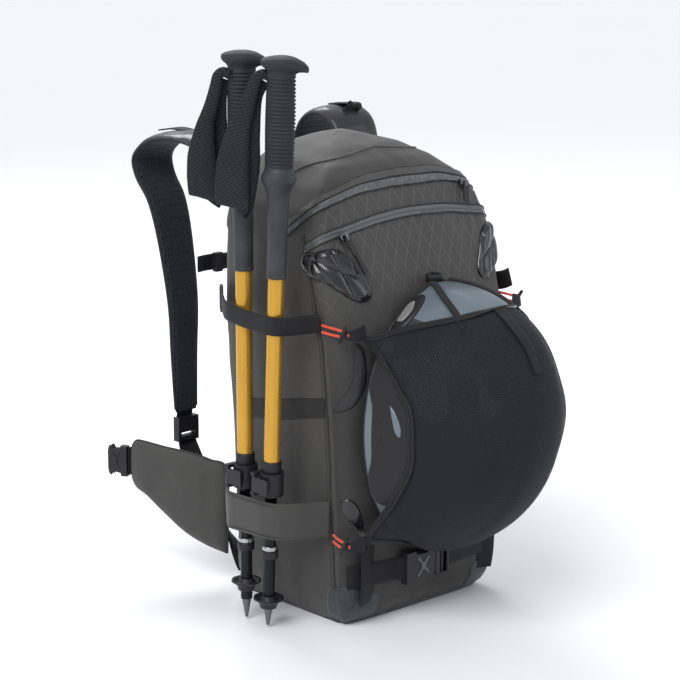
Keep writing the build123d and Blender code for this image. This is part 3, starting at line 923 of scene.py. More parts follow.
def grip(which):
    """Foam-and-rubber grip: plain sleeve, flared collar, ribbed hold and hooked head."""
    place = POLES[which] @ HEAD_TURN
    profile = list(SLEEVE)
    for height in np.linspace(.5150, .6100, 184):
        profile.append((.0149 + .0008 * math.sin((height - .515) / .095 * math.pi), height))
    profile += [(.0150, .6125), (.0156, .6150), (.0170, .6175), (.0196, .6200), (.0216, .6225),
                (.0224, .6255), (.0218, .6282), (.0190, .6302), (.0130, .6318), (.0050, .6325)]

    def shape(point):
        angle, height = math.atan2(point.y, point.x), point.z
        facing = 0.5 + 0.5 * math.cos(angle + .5)
        if .516 < height < .6095:
            wave = math.cos((height - .516) / .00405 * 2 * math.pi)
            depth = .0010 * min(1, 1.7 * facing) * (max(wave, -.5) - .3)
            point = point * (1 + depth / max(point.xy.length, 1e-6))
            point.z = height
        if height > .612:
            reach = min(1, (height - .612) / .010)
            point.x = point.x * (1 + .14 * reach) + .0035 * reach
            point.y *= 1 - .10 * reach
            point.z = height - max(point.x, 0) ** 2 * 8.5 * reach - .0015 * reach
        return point

    made = turned(f"{which}_grip", profile, place, [RUBBER, SMOOTH_RUBBER], f"{which}_pole", 72,
                  shape)
    for polygon in made.data.polygons:
        height = (place.inverted() @ polygon.center).z
        polygon.material_index = 1 if height < .5125 else 0
    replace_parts(made, f"{which}_pole_grip")


def basket(which):
    """Trekking basket: a shallow star-edged cup with a threaded hub."""
    centre = .038 if which == "rear" else .027
    profile = [(.0072, -.0075), (.0092, -.0070), (.0098, -.0045), (.0104, -.0020),
               (.0130, .0002), (.0168, .0026), (.0174, .0036), (.0166, .0046), (.0125, .0026),
               (.0098, .0016), (.0088, .0040), (.0080, .0062), (.0072, .0066)]

    def lobed(point):
        radius, angle = point.xy.length, math.atan2(point.y, point.x)
        if radius > .0110:
            pull = 1 - .055 * (0.5 + 0.5 * math.cos(8 * angle)) * (radius - .011) / .0065
            point.x, point.y = point.x * pull, point.y * pull
        return point

    place = POLES[which] @ Matrix.Translation((0, 0, centre + .001))
    made = turned(f"{which}_basket", profile, place, BUCKLE, f"{which}_pole_basket", 96, lobed)
    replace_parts(made, f"{which}_pole_basket")


def pole_rings(which):
    """Seam rings and locking collars along the shaft."""
    upper, lower = f"{which}_pole", f"{which}_pole_lower"
    for name, radius, low, high, material, body in (
            ("sleeve_band", .0112, .3945, .3985, SMOOTH_RUBBER, upper),
            ("tube_collar", .0106, .1775, .1905, BUCKLE, upper),
            ("bright_ring", .0086, .0880, .0930, STEEL, lower),
            ("stop_collar", .0094, .0790, .0880, BUCKLE, lower)):
        inner = radius - .0022
        profile = [(inner, low), (radius * .96, low), (radius, low + .0006),
                   (radius, high - .0006), (radius * .96, high), (inner, high)]
        made = turned(f"{which}_{name}", profile, POLES[which], material, body)


# Points of each wrist strap in its pole's frame: down the front of its loop, then up the back,
# with the strap's width at each, and how far to the side each half hangs.
WRIST_LINES = {
    "rear": {
        "front": [(-.0120, .6060), (-.0185, .6095), (-.0245, .6050), (-.0270, .5940),
                  (-.0320, .5740), (-.0385, .5530), (-.0425, .5250), (-.0420, .5030),
                  (-.0400, .4800)],
        "wide": [.0100, .0120, .0140, .0165, .0230, .0300, .0340, .0345, .0335],
        "back": [(-.0380, .4745), (-.0350, .4790), (-.0300, .5100), (-.0260, .5500),
                 (-.0220, .5850), (-.0160, .6000)],
        "wide_back": [.0325, .0310, .0240, .0180, .0140, .0110],
        "front_y": -.0120, "back_y": -.0030},
    "front": {
        "front": [(-.0120, .6080), (-.0190, .6110), (-.0260, .6050), (-.0310, .5900),
                  (-.0380, .5680), (-.0440, .5480), (-.0480, .5200), (-.0490, .4950),
                  (-.0480, .4740)],
        "wide": [.0100, .0125, .0160, .0210, .0280, .0340, .0355, .0350, .0335],
        "back": [(-.0455, .4690), (-.0420, .4740), (-.0360, .5100), (-.0310, .5500),
                 (-.0260, .5850), (-.0170, .6020)],
        "wide_back": [.0320, .0300, .0230, .0180, .0140, .0110],
        "front_y": .0030, "back_y": .0095}}


def wrist_strap(which):
    """Wide strap that arches off the grip and folds into a hanging loop beside it."""
    place = POLES[which] @ HEAD_TURN
    lines = WRIST_LINES[which]
    front = [(x, lines["front_y"], z) for x, z in lines["front"]]
    back = [(x, lines["back_y"], z) for x, z in lines["back"]]
    droop, count = -.32, 150
    line = smooth_line(front + back, count)
    low = int(np.argmin(line[:, 2]))
    across = []
    for k, way in enumerate(tangents(line)):
        hang = np.array((1, 0, droop * min(k / low, (count - k) / (count - low))))
        share = min(max((k / low - .40) / .35, 0), 1)
        turn = hang * share + np.array((-way[2], 0, way[0])) * (1 - share)
        across.append(tuple(place.to_3x3() @ Vector(turn)))
    made = strap(f"{which}_wrist_strap", [tuple(place @ Vector(p)) for p in line], across,
                 lines["wide"] + lines["wide_back"], .0030, WRIST,
                 f"{which}_pole_wrist", count, crown=.0012)
    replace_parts(made, f"{which}_pole_wrist_strap")


for which in POLES:
    grip(which)
    basket(which)
    pole_rings(which)
    wrist_strap(which)


# ---------------------------------------------------------------- helmet and its net
HELMET_CENTRE = np.array((0, -.1005, .2255))
HELMET_AXES = np.array((.1158, .1834, .1466))
HELMET_TURN = np.array(Matrix.Rotation(math.radians(-25.8), 3, "X"))
RIM_Y = -.116
VENTS = ((.074, .285, .017, .026), (.044, .300, .012, .022), (.050, .215, .012, .024))


def helmet_local(points):
    """Points in the helmet's own frame, where it isn't tilted."""
    return (np.asarray(points, float) - HELMET_CENTRE) @ HELMET_TURN


def helmet_world(points):
    return np.asarray(points, float) @ HELMET_TURN.T + HELMET_CENTRE


def helmet_swell(points):
    """Raised centre band and hollow vents of the helmet, as a growth factor at a point."""
    x, _, z = np.moveaxis(np.asarray(points, float), -1, 0)
    ridge = 0.020 / (1 + np.exp((np.abs(x - .004) - .026) / .0028))
    vents = 0
    for side in (-1, 1):
        for vx, vz, wide, tall in VENTS:
            vents = vents + np.exp(-((x - side * vx) / wide) ** 2 - ((z - vz) / tall) ** 2)
    return ridge - 0.028 * vents


def on_helmet(points, lift, grow=None):
    """Push points along lines from the helmet's middle onto its surface; grow=0 leaves it plain."""
    local = helmet_local(points)
    size = np.linalg.norm(local / HELMET_AXES, axis=-1, keepdims=True)
    plain = helmet_world(local / size)
    swell = helmet_swell(plain)[..., None] if grow is None else grow
    surface = local / size * (1 + swell)
    return helmet_world(surface * (1 + lift / np.linalg.norm(surface, axis=-1, keepdims=True)))


TOP_HEM = [(-.1170, -.1172, .3380), (-.1040, -.1172, .3345), (-.0900, -.1200, .3350),
           (-.0790, -.1290, .3400), (-.0640, -.1600, .3500), (-.0450, -.1850, .3580),
           (-.0200, -.2000, .3640)]
SIDE_HEM = [(-.1170, -.1172, .1070), (-.1020, -.1185, .1240), (-.0985, -.1400, .1530),
            (-.1020, -.1700, .1970), (-.1040, -.1770, .2280), (-.1035, -.1730, .2650),
            (-.1030, -.1560, .2840), (-.0980, -.1250, .3120), (-.1170, -.1172, .3380)]
LOW_HEM = [(-.1170, -.1172, .1070), (-.1000, -.1178, .1050), (-.0700, -.1185, .1000),
           (-.0350, -.1210, .0955)]


def mirror_x(points):
    return [(-x, y, z) for x, y, z in points]


def net_surface():
    """Stretch cloth held at four hooks: pulled tight over the helmet by relaxation."""
    columns, rows, steps = 117, 97, 500
    top = smooth_line(TOP_HEM + [(0, -.2030, .3655)] + mirror_x(TOP_HEM)[::-1], columns)
    low = smooth_line(LOW_HEM + [(0, -.1225, .0940)] + mirror_x(LOW_HEM)[::-1], columns)
    left = smooth_line(SIDE_HEM, rows)
    right = left * (-1, 1, 1)
    u = np.linspace(0, 1, columns)[None, :, None]
    v = np.linspace(0, 1, rows)[:, None, None]
    sheet = ((1 - v) * low[None] + v * top[None] + (1 - u) * left[:, None] + u * right[:, None]
             - (1 - u) * (1 - v) * low[0] - u * (1 - v) * low[-1] - (1 - u) * v * top[0]
             - u * v * top[-1])

    def press_out(points):
        local = helmet_local(points)
        size = np.linalg.norm(local / HELMET_AXES, axis=-1)
        limit = 1 + helmet_swell(points)
        factor = np.maximum(1, limit / np.maximum(size, 1e-6))
        return helmet_world(local * factor[..., None])

    sheet[1:-1, 1:-1] = press_out(sheet[1:-1, 1:-1] + (0, -.03, 0))
    for _ in range(steps):
        inside = (sheet[:-2, 1:-1] + sheet[2:, 1:-1] + sheet[1:-1, :-2] + sheet[1:-1, 2:]) / 4
        sheet[1:-1, 1:-1] = press_out(inside)
    return sheet


def make_net():
    sheet = net_surface()
    rows, columns = sheet.shape[:2]
    middle_run, rise = run_along(sheet[rows // 2]), run_along(sheet[:, columns // 2])
    uvs = np.stack(np.meshgrid(middle_run, rise), -1)
    net = piece("helmet_net_cloth", sheet.reshape(-1, 3), grid_faces(rows, columns), NET, "net",
                uvs.reshape(-1, 2))
    edges = {"top": (sheet[-1], sheet[-2]), "low": (sheet[0], sheet[1]),
             "left": (sheet[:, 0], sheet[:, 1]), "right": (sheet[:, -1], sheet[:, -2])}
    hems, threads = [], []
    for name, (edge, inner) in edges.items():
        edge, inner = resample(edge[1:-1], 140), resample(inner[1:-1], 140)
        inward = unit(inner - edge)
        inward = unit(np.stack([np.convolve(np.pad(inward[:, k], 6, "edge"), np.ones(13) / 13,
                                            "valid") for k in range(3)], 1))
        away = unit(edge - HELMET_CENTRE)
        centre = edge + inward * .0036 + away * .0009
        hems.append(strap(f"net_hem_{name}", centre, inward, .0082, .0016, HEM, "net", 140))
        for row in (.0012, .0060):
            threads.append(tube(f"net_thread_{name}", edge + inward * row + away * .0019, .00038,
                                THREAD, "net", 140, 5))
    hem = join("net_hems", hems)
    thread = join("net_stitching", threads)
    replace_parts(net, "helmet_net")


def helmet_rows(lift, back, rows, columns, grow=None):
    """Grid of points over the helmet, from its rim plane at y = back to its front."""
    def at(angle, turn):
        way = np.array((math.sin(angle) * math.cos(turn), -math.cos(angle),
                        math.sin(angle) * math.sin(turn)))
        return on_helmet(HELMET_CENTRE + way * .1, lift, grow)

    grid = np.zeros((rows, columns, 3))
    for c in range(columns):
        turn = 2 * math.pi * c / columns
        low, high = 0.02, math.pi * 0.8
        for _ in range(30):
            half = (low + high) / 2
            low, high = (half, high) if at(half, turn)[1] < back else (low, half)
        for r in range(rows):
            grid[r, c] = at(half * (1 - r / (rows - 1) * .985), turn)
    return grid


# Places in the shell that stay light under the net: x, z, half width, half height and tilt.
LIGHT_VENTS = [(.088, .282, .011, .024, -1.1), (.052, .288, .010, .024, -.5),
               (.080, .312, .020, .010, -.6)]


def make_helmet():
    """Painted shell with its edge trim, and the dark foam liner inside it."""
    outer = helmet_rows(-.0022, RIM_Y - .0008, 64, 180)
    inner = helmet_rows(-.0050, RIM_Y - .0008, 64, 180)
    shell = shell_of(outer, inner, "helmet_shell_painted", [SHELL, SHELL_SHADE], "net", loop=True)
    fresh_faces(shell)
    for polygon in shell.data.polygons:
        x, y, z = polygon.center
        shown = any(((abs(x) - vx) / wide) ** 2 + ((z - vz - tilt * (abs(x) - vx)) / tall) ** 2 < 1
                    for vx, vz, wide, tall, tilt in LIGHT_VENTS)
        polygon.material_index = 1 if y < -.134 and z < .352 and not shown else 0
    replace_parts(shell, "helmet_shell")
    foam_out = helmet_rows(-.0054, RIM_Y - .0012, 40, 120, 0)
    foam_in = helmet_rows(-.0260, RIM_Y - .0012, 40, 120, 0)
    foam = shell_of(foam_out, foam_in, "helmet_liner_foam", LINER, "net", loop=True)
    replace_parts(fresh_faces(foam), "helmet_liner")
    rim = [tuple((outer[0, c] + inner[0, c]) / 2) for c in range(0, 180, 3)]
    trim = tube("helmet_edge_trim", rim + rim[:1], .0021, BUCKLE, "net", 240, 8)
    return surface_tree(shell.data)


make_net()
helmet_tree = make_helmet()


def helmet_side(side):
    return lambda y, z, lift: ray_on(helmet_tree, (side * .3, y, z), (-side, 0, 0), lift)


def helmet_top(x, y, lift):
    return ray_on(helmet_tree, (x, y, .6), (0, 0, -1), lift)


COVER = [(-.1178, .304), (-.1178, .283), (-.1240, .272), (-.1278, .255), (-.1280, .225),
         (-.1268, .205), (-.1225, .190), (-.1178, .178), (-.1178, .152), (-.1400, .152),
         (-.1700, .185), (-.1790, .228), (-.1750, .266), (-.1610, .288), (-.1360, .312),
         (-.1185, .318)]
WEDGE = [(-.1500, .2690), (-.1580, .2620), (-.1670, .2470), (-.1675, .2330), (-.1610, .2360),
         (-.1560, .2500)]
VENT_FRAME = [(-.076, -.1190), (-.058, -.1180), (-.040, -.1180), (-.032, -.1230), (-.038, -.1330),
              (-.056, -.1400), (-.072, -.1360), (-.080, -.1270)]
VENT_WINDOW = [(-.070, -.1220), (-.048, -.1210), (-.044, -.1260), (-.056, -.1335), (-.068, -.1310)]
FIT_STRAP = [(.012, -.1185, .0030), (.020, -.135, .0022), (.030, -.155, .0026),
             (.038, -.176, .0026), (.045, -.200, .0008), (.048, -.212, -.0040)]
for side, word in SIDES:
    cover = blob(f"ear_cover_{word}", COVER, EAR_CLOTH, helmet_side(side), .0016, body="net",
                 rings=16, sink=.0006)
    wedge = blob(f"ear_flash_{word}", WEDGE, SHELL, helmet_side(side), .0024, body="net",
                 rings=6, count=60, sink=-.0004)
    vent = blob(f"vent_frame_{word}", mirrored(VENT_FRAME, side), VENT, helmet_top, .0022,
                body="net", rings=8, count=80)
    window = blob(f"vent_window_{word}", mirrored(VENT_WINDOW, side), VENT_GLOSS, helmet_top,
                  .0032, body="net", rings=8, count=60, sink=-.0010)
    fit = strap(f"fit_strap_{word}", [helmet_top(side * x, y, lift) for x, y, lift in FIT_STRAP],
                (1, side * .2, 0), .0085, .0016, WEB, "net", 50)
KNOB = [(.0012, .3815), (.0088, .3815), (.0094, .3822), (.0094, .3868), (.0086, .3878),
        (.0062, .3884), (.0058, .3876), (.0010, .3872)]


def knurl(point):
    """Twenty-four ribs round the edge of the dial."""
    if point.z < .3880 and point.xy.length > .0080:
        angle = math.atan2(point.y, point.x)
        factor = 1 - .035 * (0.5 + 0.5 * math.cos(24 * angle))
        point.x, point.y = point.x * factor, point.y * factor
    return point


dial = turned("fit_dial", KNOB, Matrix.Translation((0, -.108, 0)), BUCKLE, "dial", 192, knurl)
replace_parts(dial, "helmet_dial")
dart = strap("net_dart", [on_helmet(np.array(q), .0016) for q in
                          ((-.004, -.205, .3620), (-.006, -.229, .349), (-.005, -.250, .328),
                           (-.006, -.264, .303))], (1, 0, 0), (.015, .014, .012, .009),
             .0010, HEM, "net", 60)
label = strap("net_label",
              [(.0080, -.2060, .3635), (.0160, -.2058, .3630), (.0260, -.2045, .3612)],
              (0, -.5, .6), .0075, .0014, LABEL, "net", 20)


# ---------------------------------------------------------------- padded pieces
def cushion(name, outline, place, thick, materials, body, rings, count, soft, relief=None):
    """Stuffed form between two cloth faces, with piping: full in the middle, pulled in at its seam.

    outline holds flat (a, b) points and place(a, b, h) gives the point h off the middle plane.
    A higher soft keeps the form full nearer to its seam."""
    edge = closed_edge(outline, count)
    middle = edge.mean(0)
    faces_of = []
    for way in (1, -1):
        grid, flat = np.zeros((rings + 1, count, 3)), np.zeros((rings + 1, count, 2))
        for r in range(rings + 1):
            t = math.sin(r / rings * math.pi / 2) if r else 0.02
            rise = thick / 2 * max(0, 1 - t ** soft) ** 0.5
            for c in range(count):
                at = middle + (edge[c] - middle) * t
                extra = relief(at[0], at[1], t) * (1 - t ** 6) if relief else 0
                grid[r, c] = place(at[0], at[1], way * (rise + extra))
                flat[r, c] = at
        faces_of.append((grid, flat))
    (top, flat_top), (low, flat_low) = faces_of
    points = np.vstack([top.reshape(-1, 3), low[:-1].reshape(-1, 3)])
    uvs = np.vstack([flat_top.reshape(-1, 2), flat_low[:-1].reshape(-1, 2)])
    upper = grid_faces(rings + 1, count, wrap=True)
    offset = (rings + 1) * count
    lower = [tuple(i + offset for i in f[::-1]) for f in grid_faces(rings, count, wrap=True)]
    last_low, last_top = offset + (rings - 1) * count, rings * count
    for c in range(count):
        n = (c + 1) % count
        lower.append((last_low + n, last_low + c, last_top + c, last_top + n))
    caps = [tuple(range(count))[::-1], tuple(range(offset, offset + count))]
    made = piece(name, points, upper + lower + caps, materials, body, uvs)
    for index, polygon in enumerate(made.data.polygons):
        lower_face = len(upper) <= index < len(upper) + len(lower) or index == len(
            made.data.polygons) - 1
        polygon.material_index = 1 if lower_face and len(made.data.materials) > 1 else 0
    fresh_faces(made)
    rim = tube(name + "_piping", [place(a, b, 0) for a, b in np.vstack([edge, edge[:1]])],
               .0014, PIPING, body, count, 6)
    return made, rim


def stuff(made, cap, voxel):
    """Fill a closed form with cloth simulation; no point moves further than the cap."""
    frames = 18
    scene = bpy.context.scene
    before = made.data.copy()
    tree = surface_tree(before)
    modify(made, "REMESH", mode="VOXEL", voxel_size=voxel, use_smooth_shade=True)
    bake_modifiers(made)
    start = [v.co.copy() for v in made.data.vertices]
    cloth = modify(made, "CLOTH")
    cloth.settings.use_pressure = True
    cloth.settings.uniform_pressure_force = 4.0
    cloth.settings.effector_weights.gravity = 0
    cloth.settings.quality = 5
    cloth.point_cache.frame_end = frames
    for step in range(1, frames + 1):
        scene.frame_set(step)
    bake_modifiers(made)
    scene.frame_set(1)
    for vertex, rest in zip(made.data.vertices, start):
        move = vertex.co - rest
        if move.length > cap:
            vertex.co = rest + move * (cap / move.length)
    for polygon in made.data.polygons:
        index = tree.find_nearest(polygon.center)[2]
        polygon.material_index = before.polygons[index].material_index
        polygon.use_smooth = True


def bake_modifiers(made):
    """Apply every modifier on a piece."""
    view = bpy.context.view_layer
    view.update()
    result = bpy.data.meshes.new_from_object(made.evaluated_get(view.depsgraph))
    old = list(made.data.materials)
    made.modifiers.clear()
    made.data = result
    if not result.materials:
        for one in old:
            result.materials.append(one)


def harness_pad(name, route, width, centre):
    """Padded shoulder strap along a route of (y, z) points: cloth outside, mesh inside."""
    count, thick = 150, .0125
    line = smooth_line(route, count)
    widths = smooth_line([(w,) for w in width], count)[:, 0]
    middles = smooth_line([(c,) for c in centre], count)[:, 0]
    along = tangents(line)
    out = np.stack([-along[:, 1], along[:, 0]], 1)
    section = [(rounded(math.cos(a), 0.62, 1), rounded(math.sin(a), 0.85, 1))
               for a in np.arange(44) * 2 * math.pi / 44]
    run = run_along(line)
    verts, uvs = [], []
    for k in range(count):
        end = min(1, 6 * k / count + .35, 6 * (count - 1 - k) / count + .35)
        for u, w in section:
            puff = 1 + 0.10 * ripple((run[k], u * .05, w), 0.03, 2.0)
            depth = w * thick * end * puff
            x = middles[k] + u * widths[k]
            verts.append((x, line[k][0] + out[k][0] * depth, line[k][1] + out[k][1] * depth))
            uvs.append((u * widths[k], run[k]))
    ring = len(section)
    faces = grid_faces(count, ring, wrap=True) + end_caps(ring, count)
    made = piece(name, verts, faces, [MESH, STRAP_CLOTH], None, uvs)
    for index, polygon in enumerate(made.data.polygons[:-2]):
        polygon.material_index = 1 if index % ring < ring // 2 else 0
    edges = []
    for way in (-1, 1):
        path = [(middles[k] + way * widths[k] * .497, line[k][0], line[k][1])
                for k in range(0, count, 2)]
        edges.append(tube(f"{name}_edge", path, .0016, PIPING, None, count, 6))
    return made, join(f"{name}_edges", edges)


# Each shoulder strap from the bag, over its top and down: its (y, z) route, width and middle's x.
STRAP_X = .089
LEFT_ROUTE = [(.114, .464), (.118, .485), (.140, .503), (.185, .5145), (.238, .508),
              (.270, .486), (.267, .462), (.247, .436), (.234, .400), (.223, .347),
              (.218, .306), (.218, .260), (.217, .215), (.216, .186)]
RIGHT_ROUTE = [(.1145, .464), (.1180, .497), (.132, .5220), (.160, .5310), (.190, .518),
               (.209, .486), (.218, .436), (.221, .380), (.219, .306), (.218, .260),
               (.217, .215), (.216, .186)]
LEFT_WIDE = (.058, .064, .066, .066, .066, .066, .066, .065, .063, .058, .052, .042, .035, .031)
LEFT_MIDDLE = [-STRAP_X] * 14
RIGHT_MIDDLE = [.094, .098, .104, .107, .105, .101, .096, .092, .089, .089, .089, .089]
RIGHT_WIDE = (.058, .064, .066, .066, .066, .066, .065, .063, .054, .042, .035, .031)
LOWER_WEBBING = [(.104, .0180), (.1270, .0410), (.1640, .0820), (.1840, .1040), (.2000, .1220),
                 (.2120, .1430), (.2158, .1560)]
ADJUSTER_WEBBING = [(.2168, .160), (.2195, .172), (.2180, .190), (.2175, .202)]
# The left lower webbing is turned over once: its width direction at each point.
TWISTED = [ACROSS, ACROSS, (1, .12, 0), (.25, .75, -.60), (-.9, .25, -.2), (-1, 0, 0), (-1, 0, 0)]
for word, side, route, wide, middle in (
        ("left", -1, LEFT_ROUTE, LEFT_WIDE, LEFT_MIDDLE),
        ("right", 1, RIGHT_ROUTE, RIGHT_WIDE, RIGHT_MIDDLE)):
    pad, edges = harness_pad(f"shoulder_pad_{word}", route, wide, middle)
    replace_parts(pad, f"shoulder_strap_{word}")
    high = route[4] if side < 0 else route[3]
    rise = (.5115, .0125, .0085) if side < 0 else (.5270, .0085, .0060)
    lifter = strap(f"load_lifter_{word}",
                   [(middle[0], .107, .496), (middle[1], .135, rise[0]),
                    (middle[3], high[0] - .025, high[1] + rise[1]),
                    (middle[4], high[0] + .010, high[1] + rise[2])],
                   ACROSS, .0185, .0017, WEB, None, 70)
    for made in (pad, edges, lifter):
        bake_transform(made)
    lower = strap(f"lower_webbing_{word}", [(side * STRAP_X, y, z) for y, z in LOWER_WEBBING],
                  TWISTED if side < 0 else ACROSS,
                  (.030, .028, .0255, .0225, .0250, .0250, .0250), .0017, WEB, None, 140)
    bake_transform(lower)
    if side < 0:
        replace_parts(lower, "lower_webbing")
    tip = strap(f"adjuster_webbing_{word}", [(side * STRAP_X, y, z) for y, z in ADJUSTER_WEBBING],
                ACROSS, .0235, .0017, WEB, "harness", 30)

chest = strap("sternum_webbing", [(-.060, .2255, .356), (-.048, .2275, .356), (-.036, .2275, .356)],
              UP, .0195, .0018, WEB, "harness", 24)
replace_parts(chest, "sternum_strap")
chest_right = strap("sternum_webbing_right", [(.006, .2275, .356), (.030, .2280, .355),
                                              (.052, .2265, .356), (.062, .2250, .356)],
                    UP, .0195, .0018, WEB, "harness", 30)

# Each hip wing stands on a line that turns away from the bag; s runs along it and h out from it.
WING_TURN = math.radians(113)
WING_START = np.array((-.110, .117, 0))
WING_WAY = np.array((math.cos(WING_TURN), math.sin(WING_TURN), 0))
WING_OUT = np.array((-math.sin(WING_TURN), math.cos(WING_TURN), 0))
WING_OUTLINE = [(.000, .038), (-.001, .090), (.000, .140), (.020, .1480), (.044, .1535),
                (.080, .1570), (.108, .1600), (.118, .1590), (.1235, .1500), (.1245, .131),
                (.1235, .1140), (.117, .103), (.104, .0960), (.080, .078), (.052, .0580),
                (.026, .046)]


def wing_place(side):
    def place(s, z, h):
        bend = 0.010 * math.sin(min(max(s / .124, 0), 1) * math.pi)
        x, y, _ = WING_START + WING_WAY * s + WING_OUT * (h + bend * .35)
        return (x if side < 0 else -x, y, z)
    return place


def wing_folds(s, z, _):
    return 0.0016 * ripple((s * 1.2, z * .4, .3), .022, 6.0) + .0010 * ripple((s, z, .1), .012, 3)


HIP_WEBBING = [(.030, .131, -.0098), (.070, .132, -.0104), (.110, .1325, -.0095),
               (.1240, .133, -.0040), (.1300, .133, -.0006)]
for side, word in SIDES:
    body = f"{word}_hip_wing"
    wing, rim = cushion(f"hip_wing_{word}_pad", WING_OUTLINE, wing_place(side), .0165,
                        [SIDE, MESH], None, rings=20, count=180, soft=6, relief=wing_folds)
    for made in (wing, rim):
        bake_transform(made)
    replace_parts(wing, f"hip_wing_{word}")
    web = strap(f"hip_webbing_{word}", [wing_place(side)(*point) for point in HIP_WEBBING], UP,
                .034, .0018, WEB, body, 60)

PAD_ROWS = [(.156, .248), (.256, .350), (.358, .452)]
for side, word in SIDES:
    for row, (low, high) in enumerate(PAD_ROWS):
        outline = [(side * .018, low + .006), (side * .024, low), (side * .080, low),
                   (side * .089, low + .008), (side * .089, high - .008), (side * .080, high),
                   (side * .024, high), (side * .018, high - .006)]
        pad, rim = cushion(f"back_pad_{word}_{row + 1}", outline,
                           lambda x, z, h: (x, .1125 + h, z), .0150, [MESH, MESH], "pack",
                           rings=12, count=110, soft=5)
        stuff(pad, .0045, .0040)
        if side < 0 and row == 0:
            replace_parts(pad, "back_pad")
LUMBAR = [(-.094, .060), (-.080, .045), (0, .043), (.080, .045), (.094, .060), (.096, .094),
          (.094, .130), (.080, .1435), (0, .1455), (-.080, .1435), (-.094, .130), (-.096, .094)]
lumbar, rim = cushion("lumbar_cushion", LUMBAR, lambda x, z, h: (x, .1135 + h, z), .0185,
                      [MESH, MESH], "pack", rings=14, count=150, soft=5)
stuff(lumbar, .005, .0045)
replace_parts(lumbar, "lumbar_pad")

HANDLE_END = [(.030, .1085, .4795), (.030, .1165, .4700), (.030, .1290, .4618),
              (.029, .1400, .4545)]
HANDLE_GRIP = [(-.036, .1395, .4545), (-.024, .1440, .4515), (0, .1462, .4500),
               (.024, .1440, .4515), (.036, .1395, .4545)]
handle_parts = [strap("haul_handle", [(side * x, y, z) for x, y, z in HANDLE_END], ACROSS, .0195,
                      .0022, WEB, "handle", 40) for side in (-1, 1)]
handle_parts.append(tube("haul_grip", HANDLE_GRIP, (.0050, .0058, .0062, .0058, .0050), WEB,
                         "handle", 60, 20))
handle = join("haul_handle", handle_parts)
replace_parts(handle, "grab_handle")


# ---------------------------------------------------------------- low front strap and hooks
FRONT_Z = .061


def front_at(x, z, lift):
    """Point on the bag's front; x holds at y = -.085."""
    return tuple(on_bag((x * 1.45, -.45, z), (-x * .45, .365, 0), lift))


low_left = strap("front_webbing_left", [front_at(x, FRONT_Z, .0016) for x in
                                        (-.112, -.104, -.092, -.078, -.062, -.050)]
                 + [(-.0445, -.1100, FRONT_Z), (-.038, -.1115, FRONT_Z)],
                 UP, .0255, .0019, WEB, "pack", 80)
low_right = strap("front_webbing_right", [(.0120, -.1112, FRONT_Z), (.018, -.1090, FRONT_Z)]
                  + [front_at(x, FRONT_Z, .0018) for x in (.028, .045, .065, .085, .100, .111)],
                  UP, .0255, .0019, WEB, "pack", 100)
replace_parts(low_left, "front_strap")
front_at(.111, FRONT_Z, .0018)
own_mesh(low_right)
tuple(ACROSS)
for side, word in SIDES:
    anchor = strap(f"front_anchor_{word}", [front_at(side * .089, z, .0036)
                                            for z in (.094, .080, FRONT_Z, .045, .029)],
                   (1, side * -.25, 0), .0265, .0022, WEB, "pack", 50)


def plate(name, outline, low, high, place, body, material=BUCKLE, bevel=.0007):
    """Moulded flat part from an outline of (x, y) points between two heights."""
    count = len(outline)
    points = [place(x, y, height) for height in (low, high) for x, y in outline]
    faces = [tuple(range(count))[::-1], tuple(range(count, 2 * count))]
    faces += [(k, (k + 1) % count, (k + 1) % count + count, k + count) for k in range(count)]
    made = fresh_faces(piece(name, points, faces, material, body))
    modify(made, "BEVEL", width=bevel, segments=3, limit_method="ANGLE",
           angle_limit=math.radians(30))
    bake_modifiers(made)
    made.data.polygons.foreach_set("use_smooth", [False] * len(made.data.polygons))
    return made


def bar(name, x, y, half_height, place, body):
    """Plain moulded bar between two x and two y, centred on the buckle's middle plane."""
    outline = [(x[0], y[0]), (x[1], y[0]), (x[1], y[1]), (x[0], y[1])]
    return plate(name, outline, -half_height, half_height, place, body)


def mirror_y(points):
    """A whole outline from its half above the x axis."""
    return points + [(x, -y) for x, y in points[::-1] if abs(y) > 1e-9]


def buckle_place(mouth, along, out, sizes):
    """Frame for a buckle's parts: x along the strap, y across it and h outwards, with a scale each."""
    along, out = unit(along), unit(out)
    cross = np.cross(out, along)
    mouth = np.asarray(mouth, float)
    return lambda x, y, h: tuple(mouth + along * x * sizes[0] + cross * y * sizes[1]
                                 + out * h * sizes[2])


def buckle_socket(node, place, body, rib=BUCKLE):
    """Socket of a side-release buckle, with its side windows and a raised cross."""
    half = mirror_y([(-.0440, .0180), (-.0330, .0188), (-.0290, .0150), (-.0130, .0138),
                     (-.0085, .0185), (-.0030, .0170), (-.0005, .0110)])
    socket = [plate(node + "_moulding", half, low, high, place, body)
              for low, high in ((.0030, .0052), (-.0052, -.0030))]
    for y in (-.0163, .0163):
        socket.append(bar(node + "_side", (-.044, -.029), (y - .0022, y + .0022), .0046, place,
                          body))
    for x, wide in ((-.0430, .0024), (-.0345, .0030)):
        socket.append(bar(node + "_bar", (x, x + wide), (-.0165, .0165), .0040, place, body))
    for turn in (1, -1):
        socket.append(plate(node + "_rib", [(-.0290, turn * .0105), (-.0262, turn * .0118),
                                            (-.0100, -turn * .0085), (-.0128, -turn * .0098)],
                            .0050, .0060, place, body, rib, .0003))
    socket.append(plate(node + "_badge", [(-.0225, -.0050), (-.0165, -.0050), (-.0165, .0050),
                                          (-.0225, .0050)], .0050, .0066, place, body, rib, .0004))
    made = join(node + "_moulded", socket)
    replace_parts(made, node)


